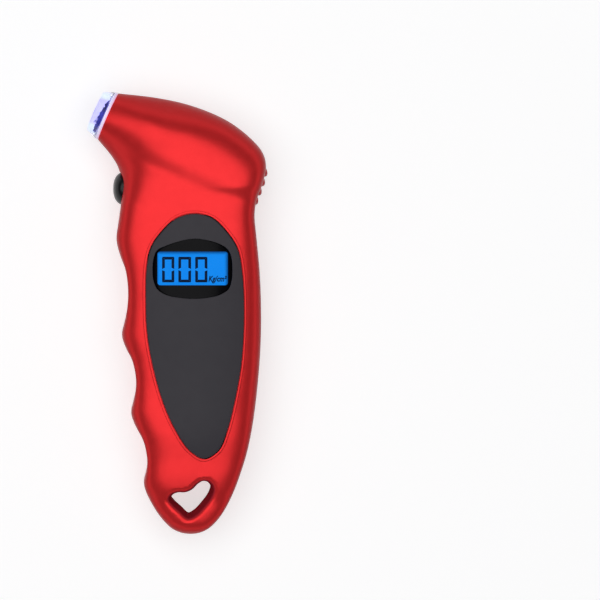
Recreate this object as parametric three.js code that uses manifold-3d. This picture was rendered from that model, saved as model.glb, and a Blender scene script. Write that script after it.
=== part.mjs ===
import * as THREE from "three";
import { mergeVertices } from "three/addons/utils/BufferGeometryUtils.js";
import Module from "manifold-3d";

// Digital tire pressure gauge lying on its back. Millimetres.
// +X points to the thumb side, +Y along the grip to the nozzle, +Z out of the display.
// The pieces are drawn from the lanyard end (x, y = 0) and from the seam plane (z = 0).

// Driving dimensions: body
const gaugeLength = 150;
const gripWidth = 45; // twice the half width that the outline shares follow
const bodyDepth = 29.8; // twice the half depth that the crown shares follow
const padShare = 0.966; // the flat resting pad cuts the back crown at this share of its depth
const wall = 2;
const seamGap = 0.2;
const clearance = 0.3;
const overrun = 2; // how far a cutting tool runs past what it cuts
const lipHeight = 1.3;
const lipWall = 0.8;
const lipStart = 3; // the seam's lip runs down to here, as a tongue in the solid end
const cavityStart = 24; // the lanyard end is solid up to here

// Nozzle, measured along its axis from its joint with the shells
const tipStep = 0.12; // the tip is this much slimmer than the shells' end
const tipLength = 4.9;
const tipFaceRadius = 6.8;
const tipEdge = 0.7;
const tipSpigotRadius = 6.4;
const tipFlangeRadius = 7.2;
const tipFlangeThickness = 1.5;
const tipInsertion = 6;
const mouthRadius = 4.4;
const mouthDepth = 8.8;
const mouthChamfer = 0.6;
const backBoreRadius = 3;
const sealThickness = 2.4;
const sealHoleRadius = 1.7;
const pinRadius = 0.8;
const pinTipDepth = 6.6;
const pinLength = 7.5;

// Valve block behind the nozzle tip, its ring and the tube to the sensor
const blockRadius = 3.8;
const blockLength = 5.4;
const noseRadius = 1.9;
const noseLength = 1.6;
const spigotRadius = 1.1;
const spigotLength = 4;
const passageRadius = 0.6;
const ringWire = 0.4;
const tubeOuterRadius = 2.2;
const tubeBoreRadius = 1.4;
const tubeReach = 13; // how far the tube runs straight on before it bends
const cradleLevel = -8.5; // front of the wall that holds the block and the lamps
const cradleWall = 1.2;

// Nozzle lamps
const lampRadius = 1.5;
const lampFlangeRadius = 1.8;
const lampFlangeThickness = 1;
const lampLength = 5;

// Faceplate and display window
const plateRise = 1.4; // the plate's crest above the shell's crown, halfway along the plate
const plateEndRise = 0.25; // the same at the plate's ends
const plateThickness = 1.9;
const plateCrownRadius = 75;
const pocketWall = 1.2; // the shell under the plate
const windowSink = 1.25; // the window's flat middle below the plate's crest
const windowLip = 0.25; // the window's rim below the plate
const windowSlope = 3; // width of the window's sloping border
const windowFlange = 0.8; // how far the flat middle stays inside the screen's sides
const displayShares = [0.031, 0.602];
const glassWidth = 27;
const glassHeight = 16;
const glassThickness = 1.6;
const glassSink = 5; // the glass below the plate's crest
const screenWidth = 23.6;
const screenHeight = 11.3;
const apertureMargin = 0.8;
const frameWall = 1;
const stripThickness = 1.8;
const backlightInset = 2.4;

// Circuit board and what it carries
const stackHeight = 5.7; // board's top to glass's top
const boardThickness = 1.2;
const boardSideShares = [-0.702, 0.658];
const boardEndShares = [0.476, 0.81];
const boardCorner = 2;
const boardPostRadius = 1.9;
const boardScrewRadius = 0.8;
const boardScrewLength = 4.6;
const boardHeadRadius = 1.5;
const boardHeadHeight = 0.8;
const boardPostGap = 1.9; // between a post and the display's room
const boardPostInset = 3.2; // post's axis in from the board's side
const chipRadius = 4.4;
const chipHeight = 1.5;
const chipShares = [0.2, 0.547];
const sensorShares = [0.133, 0.693];
const sensorSide = 7.6;
const sensorHeight = 4.8;
const sensorPortRadius = 1.1;
const sensorPortLength = 4;

// Power button and its switch; the axis points along -X
const buttonShare = 0.783;
const buttonHalfWidth = 6.4; // along Z
const buttonHalfHeight = 5.5; // along Y
const buttonRise = 2.8; // the dome's top out of the body's side
const buttonLength = 9.1; // top to back
const buttonDome = 3.3;
const buttonFlange = 0.9;
const buttonFlangeThickness = 0.8;
const buttonSkirt = 1.4;
const buttonPostRadius = 1.9;
const buttonRoof = 2.2;
const buttonTravel = 0.8;
const stemRadius = 1.7;
const stemLength = 2.3;
const stemInsertion = 0.9;
const switchSide = 6;
const switchDepth = 3.6;

// Battery bay, door and cells, all in the rear shell
const doorShares = [0.053, 0.486];
const doorLength = 43;
const doorThickness = 1.5;
const doorCorner = 2.5;
const doorRecess = 0.2;
const doorLedge = 1.2;
const hingePinRadius = 0.4;
const hingePinLength = 0.9;
const notchRadius = 4;
const notchDepth = 0.5;
const bayWall = 1;
const coinRadius = 10;
const coinThickness = 3.2;
const coinSideRoom = 2;
const endRoom = 1.1; // between the cells and the bay's ends
const cellRadius = 5.8;
const cellThickness = 5.4;
const cellCount = 3;
const contactThickness = 0.3;
const contactRoom = 2.2;
const contactSteps = 8;
const contactWidth = 6;

// Screws and their bosses
const screwHeadRadius = 2.2;
const screwHeadHeight = 1.4;
const screwRadius = 1.1;
const screwLength = 14;
const screwSeatShare = 0.57; // depth of the heads' seats below the seam, of the pad's depth
const bossRadius = 2.9;
const crossWidth = 0.6;
const crossReach = 1.5;
const crossDepth = 0.9;
const screwShares = [
  [-0.729, 0.453], [0.818, 0.453], [0.133, 0.21], [0.578, 0.85],
];

// Thumb ribs on the upper back edge
const ribCount = 4;
const ribPitch = 3.35;
const ribRadius = 1.45;
const ribSink = 0.4;
const ribHalfWidth = 7.5;
const ribStartShare = 0.748;

// Mesh fineness: steps along the grip, round the head and over half a section
const outside = { grip: 34, fan: 12, section: 8 };
const inside = { grip: 14, fan: 6, section: 5 };
const plateFineness = { outline: 44, across: 10, along: 12 };
const windowFineness = { outline: 32, across: 30, along: 24 };
const heartSteps = 30;
const lineSteps = 24;
const roundSteps = 20;
const smallSteps = 12;
const cornerSteps = 4;
const ringWireSteps = 6;
const tubeSteps = 9;
const tipCrowdingShare = 0.2;
const joinShare = 1 / 4; // the fan's first part, over which the grip's crown turns into the barrel's
const mergeDistance = 1e-4;

const halfGrip = gripWidth / 2;
const halfDepth = bodyDepth / 2;

// Outline of the body, seen from the front: x as shares of halfGrip, y of gaugeLength.
// The finger side has a crest and a valley for each finger.
const fingerSideShares = [
  [0, 0], [-0.25, 0.01], [-0.436, 0.037], [-0.573, 0.068], [-0.676, 0.1], [-0.702, 0.121],
  [-0.658, 0.151], [-0.644, 0.177], [-0.693, 0.212], [-0.813, 0.243], [-0.893, 0.277],
  [-0.849, 0.309], [-0.804, 0.349], [-0.858, 0.391], [-0.964, 0.421], [-1.031, 0.453],
  [-0.982, 0.487], [-0.924, 0.542], [-0.956, 0.591], [-1.053, 0.631], [-1.111, 0.667],
  [-1.08, 0.707], [-1.04, 0.753], [-1.04, 0.793], [-1.08, 0.829], [-1.187, 0.857],
  [-1.387, 0.893],
];
const thumbSideShares = [
  [0, 0], [0.24, 0.01], [0.431, 0.037], [0.56, 0.068], [0.667, 0.103], [0.756, 0.14],
  [0.849, 0.185], [0.942, 0.253], [1.013, 0.337], [1.058, 0.427], [1.067, 0.507],
  [1.044, 0.593], [0.991, 0.677], [0.964, 0.723], [0.996, 0.757], [1.084, 0.792],
  [1.142, 0.832], [1.093, 0.864], [0.911, 0.897], [0.551, 0.938], [0, 0.972],
  [-0.533, 0.989], [-1.076, 0.998],
];
// Half depths over the grip: y as a share of gaugeLength, depth of halfDepth.
const frontCrownShares = [
  [0, 0], [0.01, 0.336], [0.025, 0.45], [0.051, 0.507], [0.079, 0.537], [0.106, 0.624],
  [0.133, 0.678], [0.173, 0.725], [0.227, 0.799], [0.3, 0.832], [0.4, 0.839], [0.6, 0.846],
  [0.747, 0.866],
];
const backCrownShares = [
  [0, 0], [0.01, 0.336], [0.025, 0.45], [0.051, 0.507], [0.079, 0.537], [0.106, 0.624],
  [0.133, 0.678], [0.173, 0.725], [0.227, 0.799], [0.29, 0.9], [0.34, 0.99], [0.5, 1.04],
  [0.63, 1.02], [0.67, 0.99], [0.7, 0.92], [0.747, 0.852],
];
// Half depths of the barrel-like head along the nozzle's axis: distance from the joint as a
// share of gaugeLength, depth as a share of halfDepth.
const frontBarrelShares = [
  [0, 0.58], [0.04, 0.698], [0.09, 0.826], [0.16, 0.94], [0.22, 0.98], [0.28, 1], [0.42, 0.97],
];
const backBarrelShares = [
  [0, 0.58], [0.04, 0.698], [0.09, 0.812], [0.16, 0.913], [0.22, 0.94], [0.28, 0.95], [0.42, 0.93],
];
// Squareness of the sections: the exponent of a superellipse, along the grip and round the head.
const gripSquareShares = [
  [0, 2], [0.03, 2.3], [0.1, 3], [0.2, 3.8], [0.3, 4.2], [0.6, 4.2], [0.69, 3.4], [0.747, 2.8],
];
const headSquareShares = [
  [0, 2.8], [0.3, 2.4], [0.6, 2.2], [1, 2],
];
// Line over the crests between the finger grooves; the grooves lose depth towards it away from
// the seam.
const crestLineShares = [
  [0, 0], [-0.25, 0.01], [-0.436, 0.037], [-0.573, 0.068], [-0.676, 0.1], [-0.715, 0.125],
  [-0.8, 0.2], [-0.893, 0.277], [-0.965, 0.365], [-1.031, 0.453], [-1.08, 0.56], [-1.111, 0.667],
  [-1.085, 0.71], [-1.04, 0.753],
];
const grooveFadeShares = [0.4, 0.85]; // where the fading starts and ends, of the crown's depth
const grooveLossShare = 0.6;
const neckShare = 0.747; // height where the level sections of the grip start to fan round the head

// The barrel's swelling starts this far from the joint and this far below the nozzle's axis.
const barrelFade = 24;
const barrelLow = -12;
const barrelHigh = -2;

// Faceplate outline, window outline and lanyard hole: shares of halfGrip and gaugeLength.
const plateShares = [
  [0.067, 0.726], [-0.2, 0.716], [-0.4, 0.69], [-0.578, 0.653], [-0.653, 0.61], [-0.671, 0.545],
  [-0.653, 0.461], [-0.58, 0.391], [-0.42, 0.303], [-0.231, 0.238], [-0.009, 0.189], [0.209, 0.17],
  [0.427, 0.189], [0.556, 0.233], [0.667, 0.297], [0.778, 0.393], [0.813, 0.522], [0.773, 0.61],
  [0.711, 0.648], [0.556, 0.684], [0.333, 0.716],
];
const windowShares = [
  [-0.37, 0.653], [-0.5, 0.643], [-0.556, 0.622], [-0.567, 0.6], [-0.556, 0.577], [-0.5, 0.556],
  [-0.37, 0.543], [-0.15, 0.536], [0.05, 0.534], [0.25, 0.536], [0.45, 0.543], [0.58, 0.556],
  [0.627, 0.577], [0.635, 0.6], [0.627, 0.622], [0.58, 0.643], [0.45, 0.657], [0.25, 0.666],
  [0.05, 0.669], [-0.15, 0.664],
];
const heartShares = [
  [-0.03, 0.034], [-0.16, 0.05], [-0.28, 0.067], [-0.325, 0.078], [-0.28, 0.089], [-0.18, 0.0945],
  [-0.08, 0.0945], [0.01, 0.1], [0.1, 0.113], [0.19, 0.12], [0.29, 0.117], [0.35, 0.103],
  [0.32, 0.084], [0.21, 0.061], [0.08, 0.041],
];

// Splines
// Catmull-Rom curve through the points, sampled finely, with end tangents mirrored in y = 0.
function smoothLine(points) {
  const start = new THREE.Vector2(-points[1].x, points[1].y);
  const last = points.at(-1);
  const end = last.clone().add(last).sub(points.at(-2));
  const all = [start, ...points, end];
  const line = [];
  for (let i = 1; i < all.length - 2; i++) {
    const piece = new THREE.CatmullRomCurve3(
      all.slice(i - 1, i + 3).map((p) => new THREE.Vector3(p.x, p.y, 0)),
      false,
      "centripetal",
    );
    for (let k = 0; k < lineSteps; k++) {
      const p = piece.getPoint((1 + k / lineSteps) / (all.slice(i - 1, i + 3).length - 1));
      line.push(new THREE.Vector2(p.x, p.y));
    }
  }
  return [...line, last.clone()];
}

function scaled(shares, unitX, unitY) {
  return shares.map(([x, y]) => new THREE.Vector2(x * unitX, y * unitY));
}

// Point of a line at a height y, and a point at a share of the line's length above a height.
function atHeight(line, y) {
  const i = Math.min(Math.max(line.findIndex((p) => p.y >= y), 1), line.length - 1);
  const [a, b] = [line[i - 1], line[i]];
  return a.clone().lerp(b, THREE.MathUtils.clamp((y - a.y) / (b.y - a.y), 0, 1));
}
function lineAbove(line, y) {
  return [atHeight(line, y), ...line.filter((p) => p.y > y)];
}
function alongLine(line, share) {
  const steps = line.slice(1).map((p, i) => p.distanceTo(line[i]));
  let left = share * steps.reduce((a, b) => a + b, 0);
  for (let i = 0; i < steps.length; i++) {
    if (left <= steps[i]) return line[i].clone().lerp(line[i + 1], left / steps[i]);
    left -= steps[i];
  }
  return line[line.length - 1].clone();
}

// The faceplate's top: it follows the shell's crown, bulges halfway along and falls to its sides.
function plateTop(x, y) {
  const [low, high] = [Math.min(...plateShares.map(([, h]) => h)), plateShares[0][1]];
  const along = (2 * (y / gaugeLength - low)) / (high - low) - 1;
  const bulge = (plateRise - plateEndRise) * Math.max(1 - along ** 4, 0);
  const crown = atHeight(frontCrown, Math.min(y, neckShare * gaugeLength)).x;
  const aside = x - displayShares[0] * halfGrip;
  return crown + plateEndRise + bulge - aside ** 2 / (2 * plateCrownRadius);
}

// A value over a table of [place, value] pairs.
function fromTable(pairs) {
  return (x) => {
    const i = THREE.MathUtils.clamp(pairs.findIndex(([p]) => p > x), 1, pairs.length - 1);
    const past = x >= pairs[pairs.length - 1][0];
    const [a, b] = past ? pairs.slice(-2) : [pairs[i - 1], pairs[i]];
    const t = THREE.MathUtils.clamp((x - a[0]) / (b[0] - a[0]), 0, 1);
    return THREE.MathUtils.lerp(a[1], b[1], t);
  };
}

const crestLine = smoothLine(scaled(crestLineShares, halfGrip, gaugeLength));
const fingerSide = smoothLine(scaled(fingerSideShares, halfGrip, gaugeLength));
const thumbSide = smoothLine(scaled(thumbSideShares, halfGrip, gaugeLength));
const neckY = neckShare * gaugeLength;
const fingerHead = lineAbove(fingerSide, neckY);
const thumbHead = lineAbove(thumbSide, neckY);

// Crown curves hold (depth, y), so that a height on them gives a depth.
function crownLine(shares) {
  return smoothLine(shares.map(([y, depth]) => new THREE.Vector2(depth * halfDepth, y * gaugeLength)));
}
const frontCrown = crownLine(frontCrownShares);
const backCrown = crownLine(backCrownShares);
const frontBarrel = fromTable(frontBarrelShares);
const backBarrel = fromTable(backBarrelShares);
const gripSquare = fromTable(gripSquareShares);
const headSquare = fromTable(headSquareShares);

// The nozzle's joint spans the outline's two open ends, and its axis stands square to them.
const jointLow = fingerSide[fingerSide.length - 1];
const jointHigh = thumbSide[thumbSide.length - 1];
const jointChord = jointHigh.clone().sub(jointLow);
const nozzleJoint = jointLow.clone().add(jointHigh).divideScalar(2);
const nozzleOut = new THREE.Vector2(-jointChord.y, jointChord.x).normalize();
const nozzleRadius = jointChord.length() / 2 - tipStep;

// Places and heights that follow the outline and the crowns
const placed = ([x, y]) => new THREE.Vector2(x * halfGrip, y * gaugeLength);
const { x: displayX, y: displayY } = placed(displayShares);
const { x: doorX, y: doorY } = placed(doorShares);
const padDepth = padShare * halfDepth;
const screwPlaces = screwShares.map(placed);
const screwSeat = -screwSeatShare * padDepth;
const neckCrown = atHeight(frontCrown, neckY).x;
const wallMiddle = neckCrown - wall / 2; // bosses and posts end inside the front wall
const plateCrest = plateTop(displayX, displayY);
const windowFlat = plateCrest - windowSink;
const glassTop = plateCrest - glassSink;
const boardTop = glassTop - stackHeight;
const boardBottom = boardTop - boardThickness;
const [boardLeft, boardRight] = boardSideShares.map((share) => share * halfGrip);
const [boardLow, boardHigh] = boardEndShares.map((share) => share * gaugeLength);
const buttonY = buttonShare * gaugeLength;
const buttonApexX = atHeight(fingerSide, buttonY).x - buttonRise;
const buttonBackX = buttonApexX + buttonLength;

// How far a plan point belongs to the barrel-like head (1) or to the grip (0), and its place
// along the barrel.
function barrelPlace(p) {
  const from = p.clone().sub(nozzleJoint);
  const along = -from.dot(nozzleOut);
  const aside = from.x * nozzleOut.y - from.y * nozzleOut.x;
  const low = THREE.MathUtils.smoothstep(aside, barrelLow, barrelHigh);
  const near = THREE.MathUtils.smoothstep(along, 0, barrelFade);
  return { along: Math.max(along, 0), belongs: 1 - (1 - low) * near };
}

// Stations of the body: the chord's two ends, squareness, and crown lines of front and back.
function gripStation(y) {
  return {
    finger: atHeight(fingerSide, y),
    thumb: atHeight(thumbSide, y),
    square: gripSquare(y / gaugeLength),
    fan: 0,
    groove: Math.max(atHeight(fingerSide, y).x - atHeight(crestLine, y).x, 0),
    front: atHeight(frontCrown, y).x,
    back: atHeight(backCrown, y).x,
  };
}
function fanStation(share) {
  return {
    finger: alongLine(fingerHead, share),
    thumb: alongLine(thumbHead, share),
    square: headSquare(share),
    fan: share,
    groove: 0,
    front: atHeight(frontCrown, neckY).x,
    back: atHeight(backCrown, neckY).x,
  };
}

// Height of the body over a plan point of a station, on the front or the back.
function crownAt(station, p, front) {
  const grip = front ? station.front : station.back;
  if (station.fan === 0) return grip;
  const { along, belongs } = barrelPlace(p);
  const barrel = (front ? frontBarrel : backBarrel)(along / gaugeLength) * halfDepth;
  const joins = THREE.MathUtils.smoothstep(station.fan, 0, joinShare);
  return THREE.MathUtils.lerp(grip, barrel, belongs * joins);
}

// One closed ring of points round a station, drawn in by inset.
function stationRing(station, inset, steps) {
  const middle = station.finger.clone().add(station.thumb).divideScalar(2);
  const half = station.thumb.clone().sub(station.finger).divideScalar(2);
  const reach = half.length();
  const drawn = reach > 0 ? Math.max(reach - inset, 0) / reach : 0;
  const ring = [];
  for (let k = 0; k < 2 * steps; k++) {
    const angle = (Math.PI * k) / steps;
    const across = Math.sign(Math.cos(angle)) * Math.abs(Math.cos(angle)) ** (2 / station.square);
    const up = Math.sign(Math.sin(angle)) * Math.abs(Math.sin(angle)) ** (2 / station.square);
    const edge = k % steps === 0;
    const p = middle.clone().addScaledVector(half, edge ? Math.sign(across) * drawn : across * drawn);
    const crown = Math.max(crownAt(station, p, up > 0) - inset, 0);
    const fade = THREE.MathUtils.smoothstep(Math.abs(up), ...grooveFadeShares);
    if (across < 0) p.x -= grooveLossShare * station.groove * fade * across ** 2;
    ring.push(new THREE.Vector3(p.x, p.y, edge ? 0 : up * crown));
  }
  return ring;
}

// A solid through closed rings, its ends closed by their middle points.
function ringGeometry(rings) {
  const count = rings[0].length;
  const centre = (ring) =>
    ring.reduce((sum, p) => sum.add(p), new THREE.Vector3()).divideScalar(ring.length);
  const points = [...rings.flat(), centre(rings[0]), centre(rings[rings.length - 1])];
  const index = [];
  for (let r = 0; r + 1 < rings.length; r++)
    for (let k = 0; k < count; k++) {
      const [a, b] = [r * count + k, r * count + ((k + 1) % count)];
      index.push(a, b, b + count, a, b + count, a + count);
    }
  const last = (rings.length - 1) * count;
  for (let k = 0; k < count; k++) {
    const next = (k + 1) % count;
    index.push(points.length - 2, next, k, points.length - 1, last + k, last + next);
  }
  const flat = points.flatMap((p) => [p.x, p.y, p.z]);
  return new THREE.BufferGeometry()
    .setAttribute("position", new THREE.Float32BufferAttribute(flat, 3))
    .setIndex(index);
}

// Solids
const wasm = await Module();
wasm.setup();

// A geometry as a solid, turned outside out if need be.
function solid(geometry) {
  const plain = geometry.index ? geometry.clone() : geometry;
  plain.deleteAttribute("normal");
  plain.deleteAttribute("uv");
  const merged = mergeVertices(plain, mergeDistance);
  const corners = merged.index.array;
  const triVerts = [];
  for (let i = 0; i < corners.length; i += 3) {
    const [a, b, c] = corners.slice(i, i + 3);
    if (a !== b && b !== c && a !== c) triVerts.push(a, b, c);
  }
  const build = (tris) =>
    new wasm.Manifold(
      new wasm.Mesh({
        numProp: 3,
        vertProperties: new Float32Array(merged.attributes.position.array),
        triVerts: new Uint32Array(tris),
      }),
    );
  const made = build(triVerts);
  return made.volume() < 0 ? build(triVerts.reverse()) : made;
}
const joined = (first, ...rest) => rest.reduce((sum, s) => sum.add(s), first);
const cut = (first, ...rest) => rest.reduce((left, s) => left.subtract(s), first);

// A box between two corners, an upright prism, a cylinder along Z and a turned shape along Z.
function block(low, high) {
  const size = new THREE.Vector3().subVectors(high, low);
  const centre = new THREE.Vector3().addVectors(low, high).divideScalar(2);
  return solid(new THREE.BoxGeometry(size.x, size.y, size.z).translate(...centre.toArray()));
}
function centredBlock(width, height, low, high, shiftY = 0) {
  return block(
    point(displayX - width / 2, displayY + shiftY - height / 2, low),
    point(displayX + width / 2, displayY + shiftY + height / 2, high),
  );
}
function prism(outline, low, high) {
  const geometry = new THREE.ExtrudeGeometry(new THREE.Shape(outline), {
    depth: high - low,
    bevelEnabled: false,
  });
  return solid(geometry.translate(0, 0, low));
}
function post(place, radius, low, high, steps = roundSteps) {
  const geometry = new THREE.CylinderGeometry(radius, radius, high - low, steps);
  geometry.rotateX(Math.PI / 2).translate(place.x, place.y, (low + high) / 2);
  return solid(geometry);
}
function turned(profile, steps = roundSteps) {
  const points = profile.map(([r, h]) => new THREE.Vector2(r, h));
  return new THREE.LatheGeometry(points, steps).rotateX(Math.PI / 2);
}
const point = (x, y, z) => new THREE.Vector3(x, y, z);
// A block whose bottom and top follow heights over the plan, between two plan corners.
function layer(low, high, bottom, top, fineness) {
  const rings = [];
  for (let j = 0; j <= fineness.along; j++) {
    const y = THREE.MathUtils.lerp(low.y, high.y, j / fineness.along);
    const line = [];
    for (let i = 0; i <= fineness.across; i++)
      line.push(THREE.MathUtils.lerp(low.x, high.x, i / fineness.across));
    const under = line.map((x) => point(x, y, bottom(x, y))).reverse();
    rings.push([...under, ...line.map((x) => point(x, y, top(x, y)))]);
  }
  return solid(ringGeometry(rings));
}
// A screw that points up, its head just under the seat.
function screwShape(seat, headRadius, headHeight, radius, length, steps) {
  const profile = [
    [0, seat - headHeight],
    [headRadius, seat - headHeight],
    [headRadius, seat],
    [radius, seat],
    [radius, seat + length - radius],
    [0, seat + length],
  ];
  return turned(profile, steps);
}

// Closed outlines: a smooth one through shares, a rounded rectangle, and one grown sideways.
function smoothOutline(shares, steps) {
  const points = scaled(shares, halfGrip, gaugeLength).map((p) => point(p.x, p.y, 0));
  const curve = new THREE.CatmullRomCurve3(points, true, "centripetal");
  return curve.getSpacedPoints(steps).slice(0, -1).map((p) => new THREE.Vector2(p.x, p.y));
}
function roundedRectangle(x, y, width, height, corner) {
  const [w, h] = [width / 2 - corner, height / 2 - corner];
  const shape = new THREE.Shape();
  shape.absarc(x + w, y + h, corner, 0, Math.PI / 2);
  shape.absarc(x - w, y + h, corner, Math.PI / 2, Math.PI);
  shape.absarc(x - w, y - h, corner, Math.PI, (3 * Math.PI) / 2);
  shape.absarc(x + w, y - h, corner, (3 * Math.PI) / 2, 2 * Math.PI);
  return shape.getPoints(cornerSteps).slice(0, -1);
}
function grown(outline, by) {
  const turn = THREE.ShapeUtils.isClockWise(outline) ? -1 : 1;
  return outline.map((p, i) => {
    const before = outline[(i + outline.length - 1) % outline.length];
    const after = outline[(i + 1) % outline.length];
    const along = after.clone().sub(before).normalize();
    return new THREE.Vector2(p.x + turn * along.y * by, p.y - turn * along.x * by);
  });
}

// Places a shape turned along Z on the nozzle's axis, its +Z pointing out of the nozzle.
const nozzleFrame = new THREE.Matrix4()
  .makeBasis(
    point(nozzleOut.y, -nozzleOut.x, 0),
    point(0, 0, -1),
    point(nozzleOut.x, nozzleOut.y, 0),
  )
  .setPosition(nozzleJoint.x, nozzleJoint.y, 0);
const onNozzle = (geometry) => geometry.clone().applyMatrix4(nozzleFrame);

const group = new THREE.Group();
function addMesh(name, shape, colour, roughness, metalness) {
  let geometry = shape;
  if (!shape.isBufferGeometry) {
    const mesh = shape.getMesh();
    geometry = new THREE.BufferGeometry()
      .setAttribute("position", new THREE.BufferAttribute(new Float32Array(mesh.vertProperties), 3))
      .setIndex(new THREE.BufferAttribute(new Uint32Array(mesh.triVerts), 1));
  }
  geometry.computeVertexNormals();
  const material = new THREE.MeshStandardMaterial({ color: colour, roughness, metalness });
  const mesh = new THREE.Mesh(geometry, material);
  mesh.name = name;
  group.add(mesh);
  return mesh;
}

// Stations lie closer together where the lanyard end rounds off.
const tipEase = (t) => t * THREE.MathUtils.smoothstep(t, -tipCrowdingShare, tipCrowdingShare);

// Body solids: the whole outer form, and the same form drawn in by a wall.
const far = gaugeLength;
function bodySolid(inset, startY, fineness) {
  const stations = [];
  for (let k = 0; k <= fineness.grip; k++) {
    const t = k / fineness.grip;
    stations.push(gripStation(THREE.MathUtils.lerp(startY, neckY, startY > 0 ? t : tipEase(t))));
  }
  for (let k = 1; k <= fineness.fan; k++) stations.push(fanStation(k / fineness.fan));
  return solid(ringGeometry(stations.map((s) => stationRing(s, inset, fineness.section))));
}

// What lies inwards of a level across the nozzle's axis.
function inwardsOf(level) {
  const geometry = new THREE.BoxGeometry(2 * far, 2 * far, 2 * far);
  return solid(onNozzle(geometry.translate(0, 0, level - far)));
}
const tipShoulder = -(tipInsertion - tipFlangeThickness) + clearance;
const outer = cut(
  bodySolid(0, 0, outside),
  block(point(-far, -far, -far), point(far, 2 * far, -padDepth)),
);
const hollow = (inset, startY) =>
  bodySolid(inset, startY, inside).intersect(inwardsOf(tipShoulder - inset + wall));
const cavity = hollow(wall, cavityStart);

// Front and rear shells
const plateOutline = smoothOutline(plateShares, plateFineness.outline);
const windowOutline = smoothOutline(windowShares, windowFineness.outline);
const heartOutline = smoothOutline(heartShares, heartSteps);
const above = (z) => block(point(-far, -far, z), point(far, 2 * far, far));
const below = (z) => block(point(-far, -far, -far), point(far, 2 * far, z));
const seam = seamGap / 2;

const nozzleBore = solid(
  onNozzle(
    turned([
      [0, tipShoulder - overrun],
      [tipSpigotRadius + clearance, tipShoulder - overrun],
      [tipSpigotRadius + clearance, overrun],
      [0, overrun],
    ]),
  ),
);
const heartHole = prism(heartOutline, -bodyDepth, bodyDepth);

// An upright oval post along X for the button's hole and the room behind it.
function ovalAlongX(halfWidth, halfHeight, fromX, toX) {
  const geometry = new THREE.CylinderGeometry(1, 1, 1, roundSteps).rotateZ(Math.PI / 2);
  geometry.scale(toX - fromX, halfHeight, halfWidth).translate((fromX + toX) / 2, buttonY, 0);
  return solid(geometry);
}
const buttonHole = ovalAlongX(
  buttonHalfWidth + clearance,
  buttonHalfHeight + clearance,
  buttonApexX - overrun,
  buttonBackX,
);
const flangeFrontX = buttonBackX - buttonFlangeThickness;
const buttonRoom = ovalAlongX(
  buttonHalfWidth + buttonFlange + clearance,
  buttonHalfHeight + buttonFlange + clearance,
  flangeFrontX - clearance,
  buttonBackX + overrun,
);
const openings = [nozzleBore, heartHole, buttonHole, buttonRoom];

// Thumb ribs: long low swellings across the upper back edge.
const thumbEdge = lineAbove(thumbSide, ribStartShare * gaugeLength);
const thumbEdgeLength = thumbEdge.slice(1).reduce((sum, p, i) => sum + p.distanceTo(thumbEdge[i]), 0);
const ribs = [];
for (let k = 0; k < ribCount; k++) {
  const share = (k * ribPitch) / thumbEdgeLength;
  const here = alongLine(thumbEdge, share);
  const next = alongLine(thumbEdge, share + ribSink / thumbEdgeLength);
  const outwards = new THREE.Vector2(next.y - here.y, here.x - next.x).normalize();
  const centre = here.addScaledVector(outwards, -ribSink);
  const geometry = new THREE.SphereGeometry(1, smallSteps, smallSteps / 2).rotateX(Math.PI / 2);
  geometry.scale(ribRadius, ribRadius, ribHalfWidth).translate(centre.x, centre.y, 0);
  ribs.push(solid(geometry));
}
const ribbed = joined(outer, ...ribs);

// The rear shell's lip closes the seam from inside, and the front shell has the rebate for it.
const heartWall = (by) => prism(grown(heartOutline, by), -bodyDepth, bodyDepth);
const lipInset = wall - lipWall;
const rebateInset = lipInset - clearance / 2;
const lip = cut(hollow(lipInset, lipStart), cavity, heartWall(lipInset))
  .intersect(above(-wall))
  .intersect(below(lipHeight));
const lipRebate = cut(hollow(rebateInset, lipStart - clearance / 2), heartWall(rebateInset))
  .intersect(above(-wall))
  .intersect(below(lipHeight + clearance));

// A wall across the head holds the valve block and the lamps.
const lampAside = blockRadius + clearance + lampFlangeRadius;
function alongNozzle(radius, aside) {
  const geometry = new THREE.CylinderGeometry(radius, radius, 4 * wall, smallSteps);
  return solid(onNozzle(geometry.rotateX(Math.PI / 2).translate(aside, 0, cradleLevel)));
}
const cradle = cut(
  inwardsOf(cradleLevel).intersect(outer),
  inwardsOf(cradleLevel - cradleWall),
  alongNozzle(blockRadius + clearance, 0),
  alongNozzle(lampRadius + clearance / 2, lampAside),
  alongNozzle(lampRadius + clearance / 2, -lampAside),
);

const frameGap = clearance / 2;
const roomHalfWidth = glassWidth / 2 + frameWall + frameGap + clearance;
const roomHalfHeight = glassHeight / 2 + frameWall + frameGap + clearance;
const postReach = roomHalfHeight + boardPostGap + boardPostRadius;
const boardPlaces = [boardLeft + boardPostInset, boardRight - boardPostInset].flatMap((x) =>
  [displayY - postReach, displayY + postReach].map((y) => new THREE.Vector2(x, y)),
);
const frontBosses = screwPlaces.map((p) => post(p, bossRadius, seam, wallMiddle).intersect(outer));
const boardPosts = boardPlaces.map((p) =>
  post(p, boardPostRadius, boardTop + clearance / 2, wallMiddle, smallSteps).intersect(outer),
);
const boardPilots = boardPlaces.map((p) =>
  post(
    p,
    boardScrewRadius + clearance / 2,
    boardBottom - overrun,
    boardTop + boardScrewLength,
    smallSteps,
  ),
);
const pilotHoles = screwPlaces.map((p) =>
  post(p, screwRadius + clearance / 2, -overrun, screwSeat + screwLength + overrun / 2, smallSteps),
);
const plateUnder = (x, y) => plateTop(x, y) - plateThickness;
const underPlate = (drop, grow) =>
  layer(
    point(-halfGrip, lipStart, 0),
    point(halfGrip, neckY + wall, 0),
    (x, y) => plateUnder(x, y) - drop,
    () => bodyDepth,
    plateFineness,
  ).intersect(prism(grown(plateOutline, grow), 0, bodyDepth));
const platePocket = underPlate(clearance, clearance);
const pocketBacking = underPlate(clearance + pocketWall, pocketWall);
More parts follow.
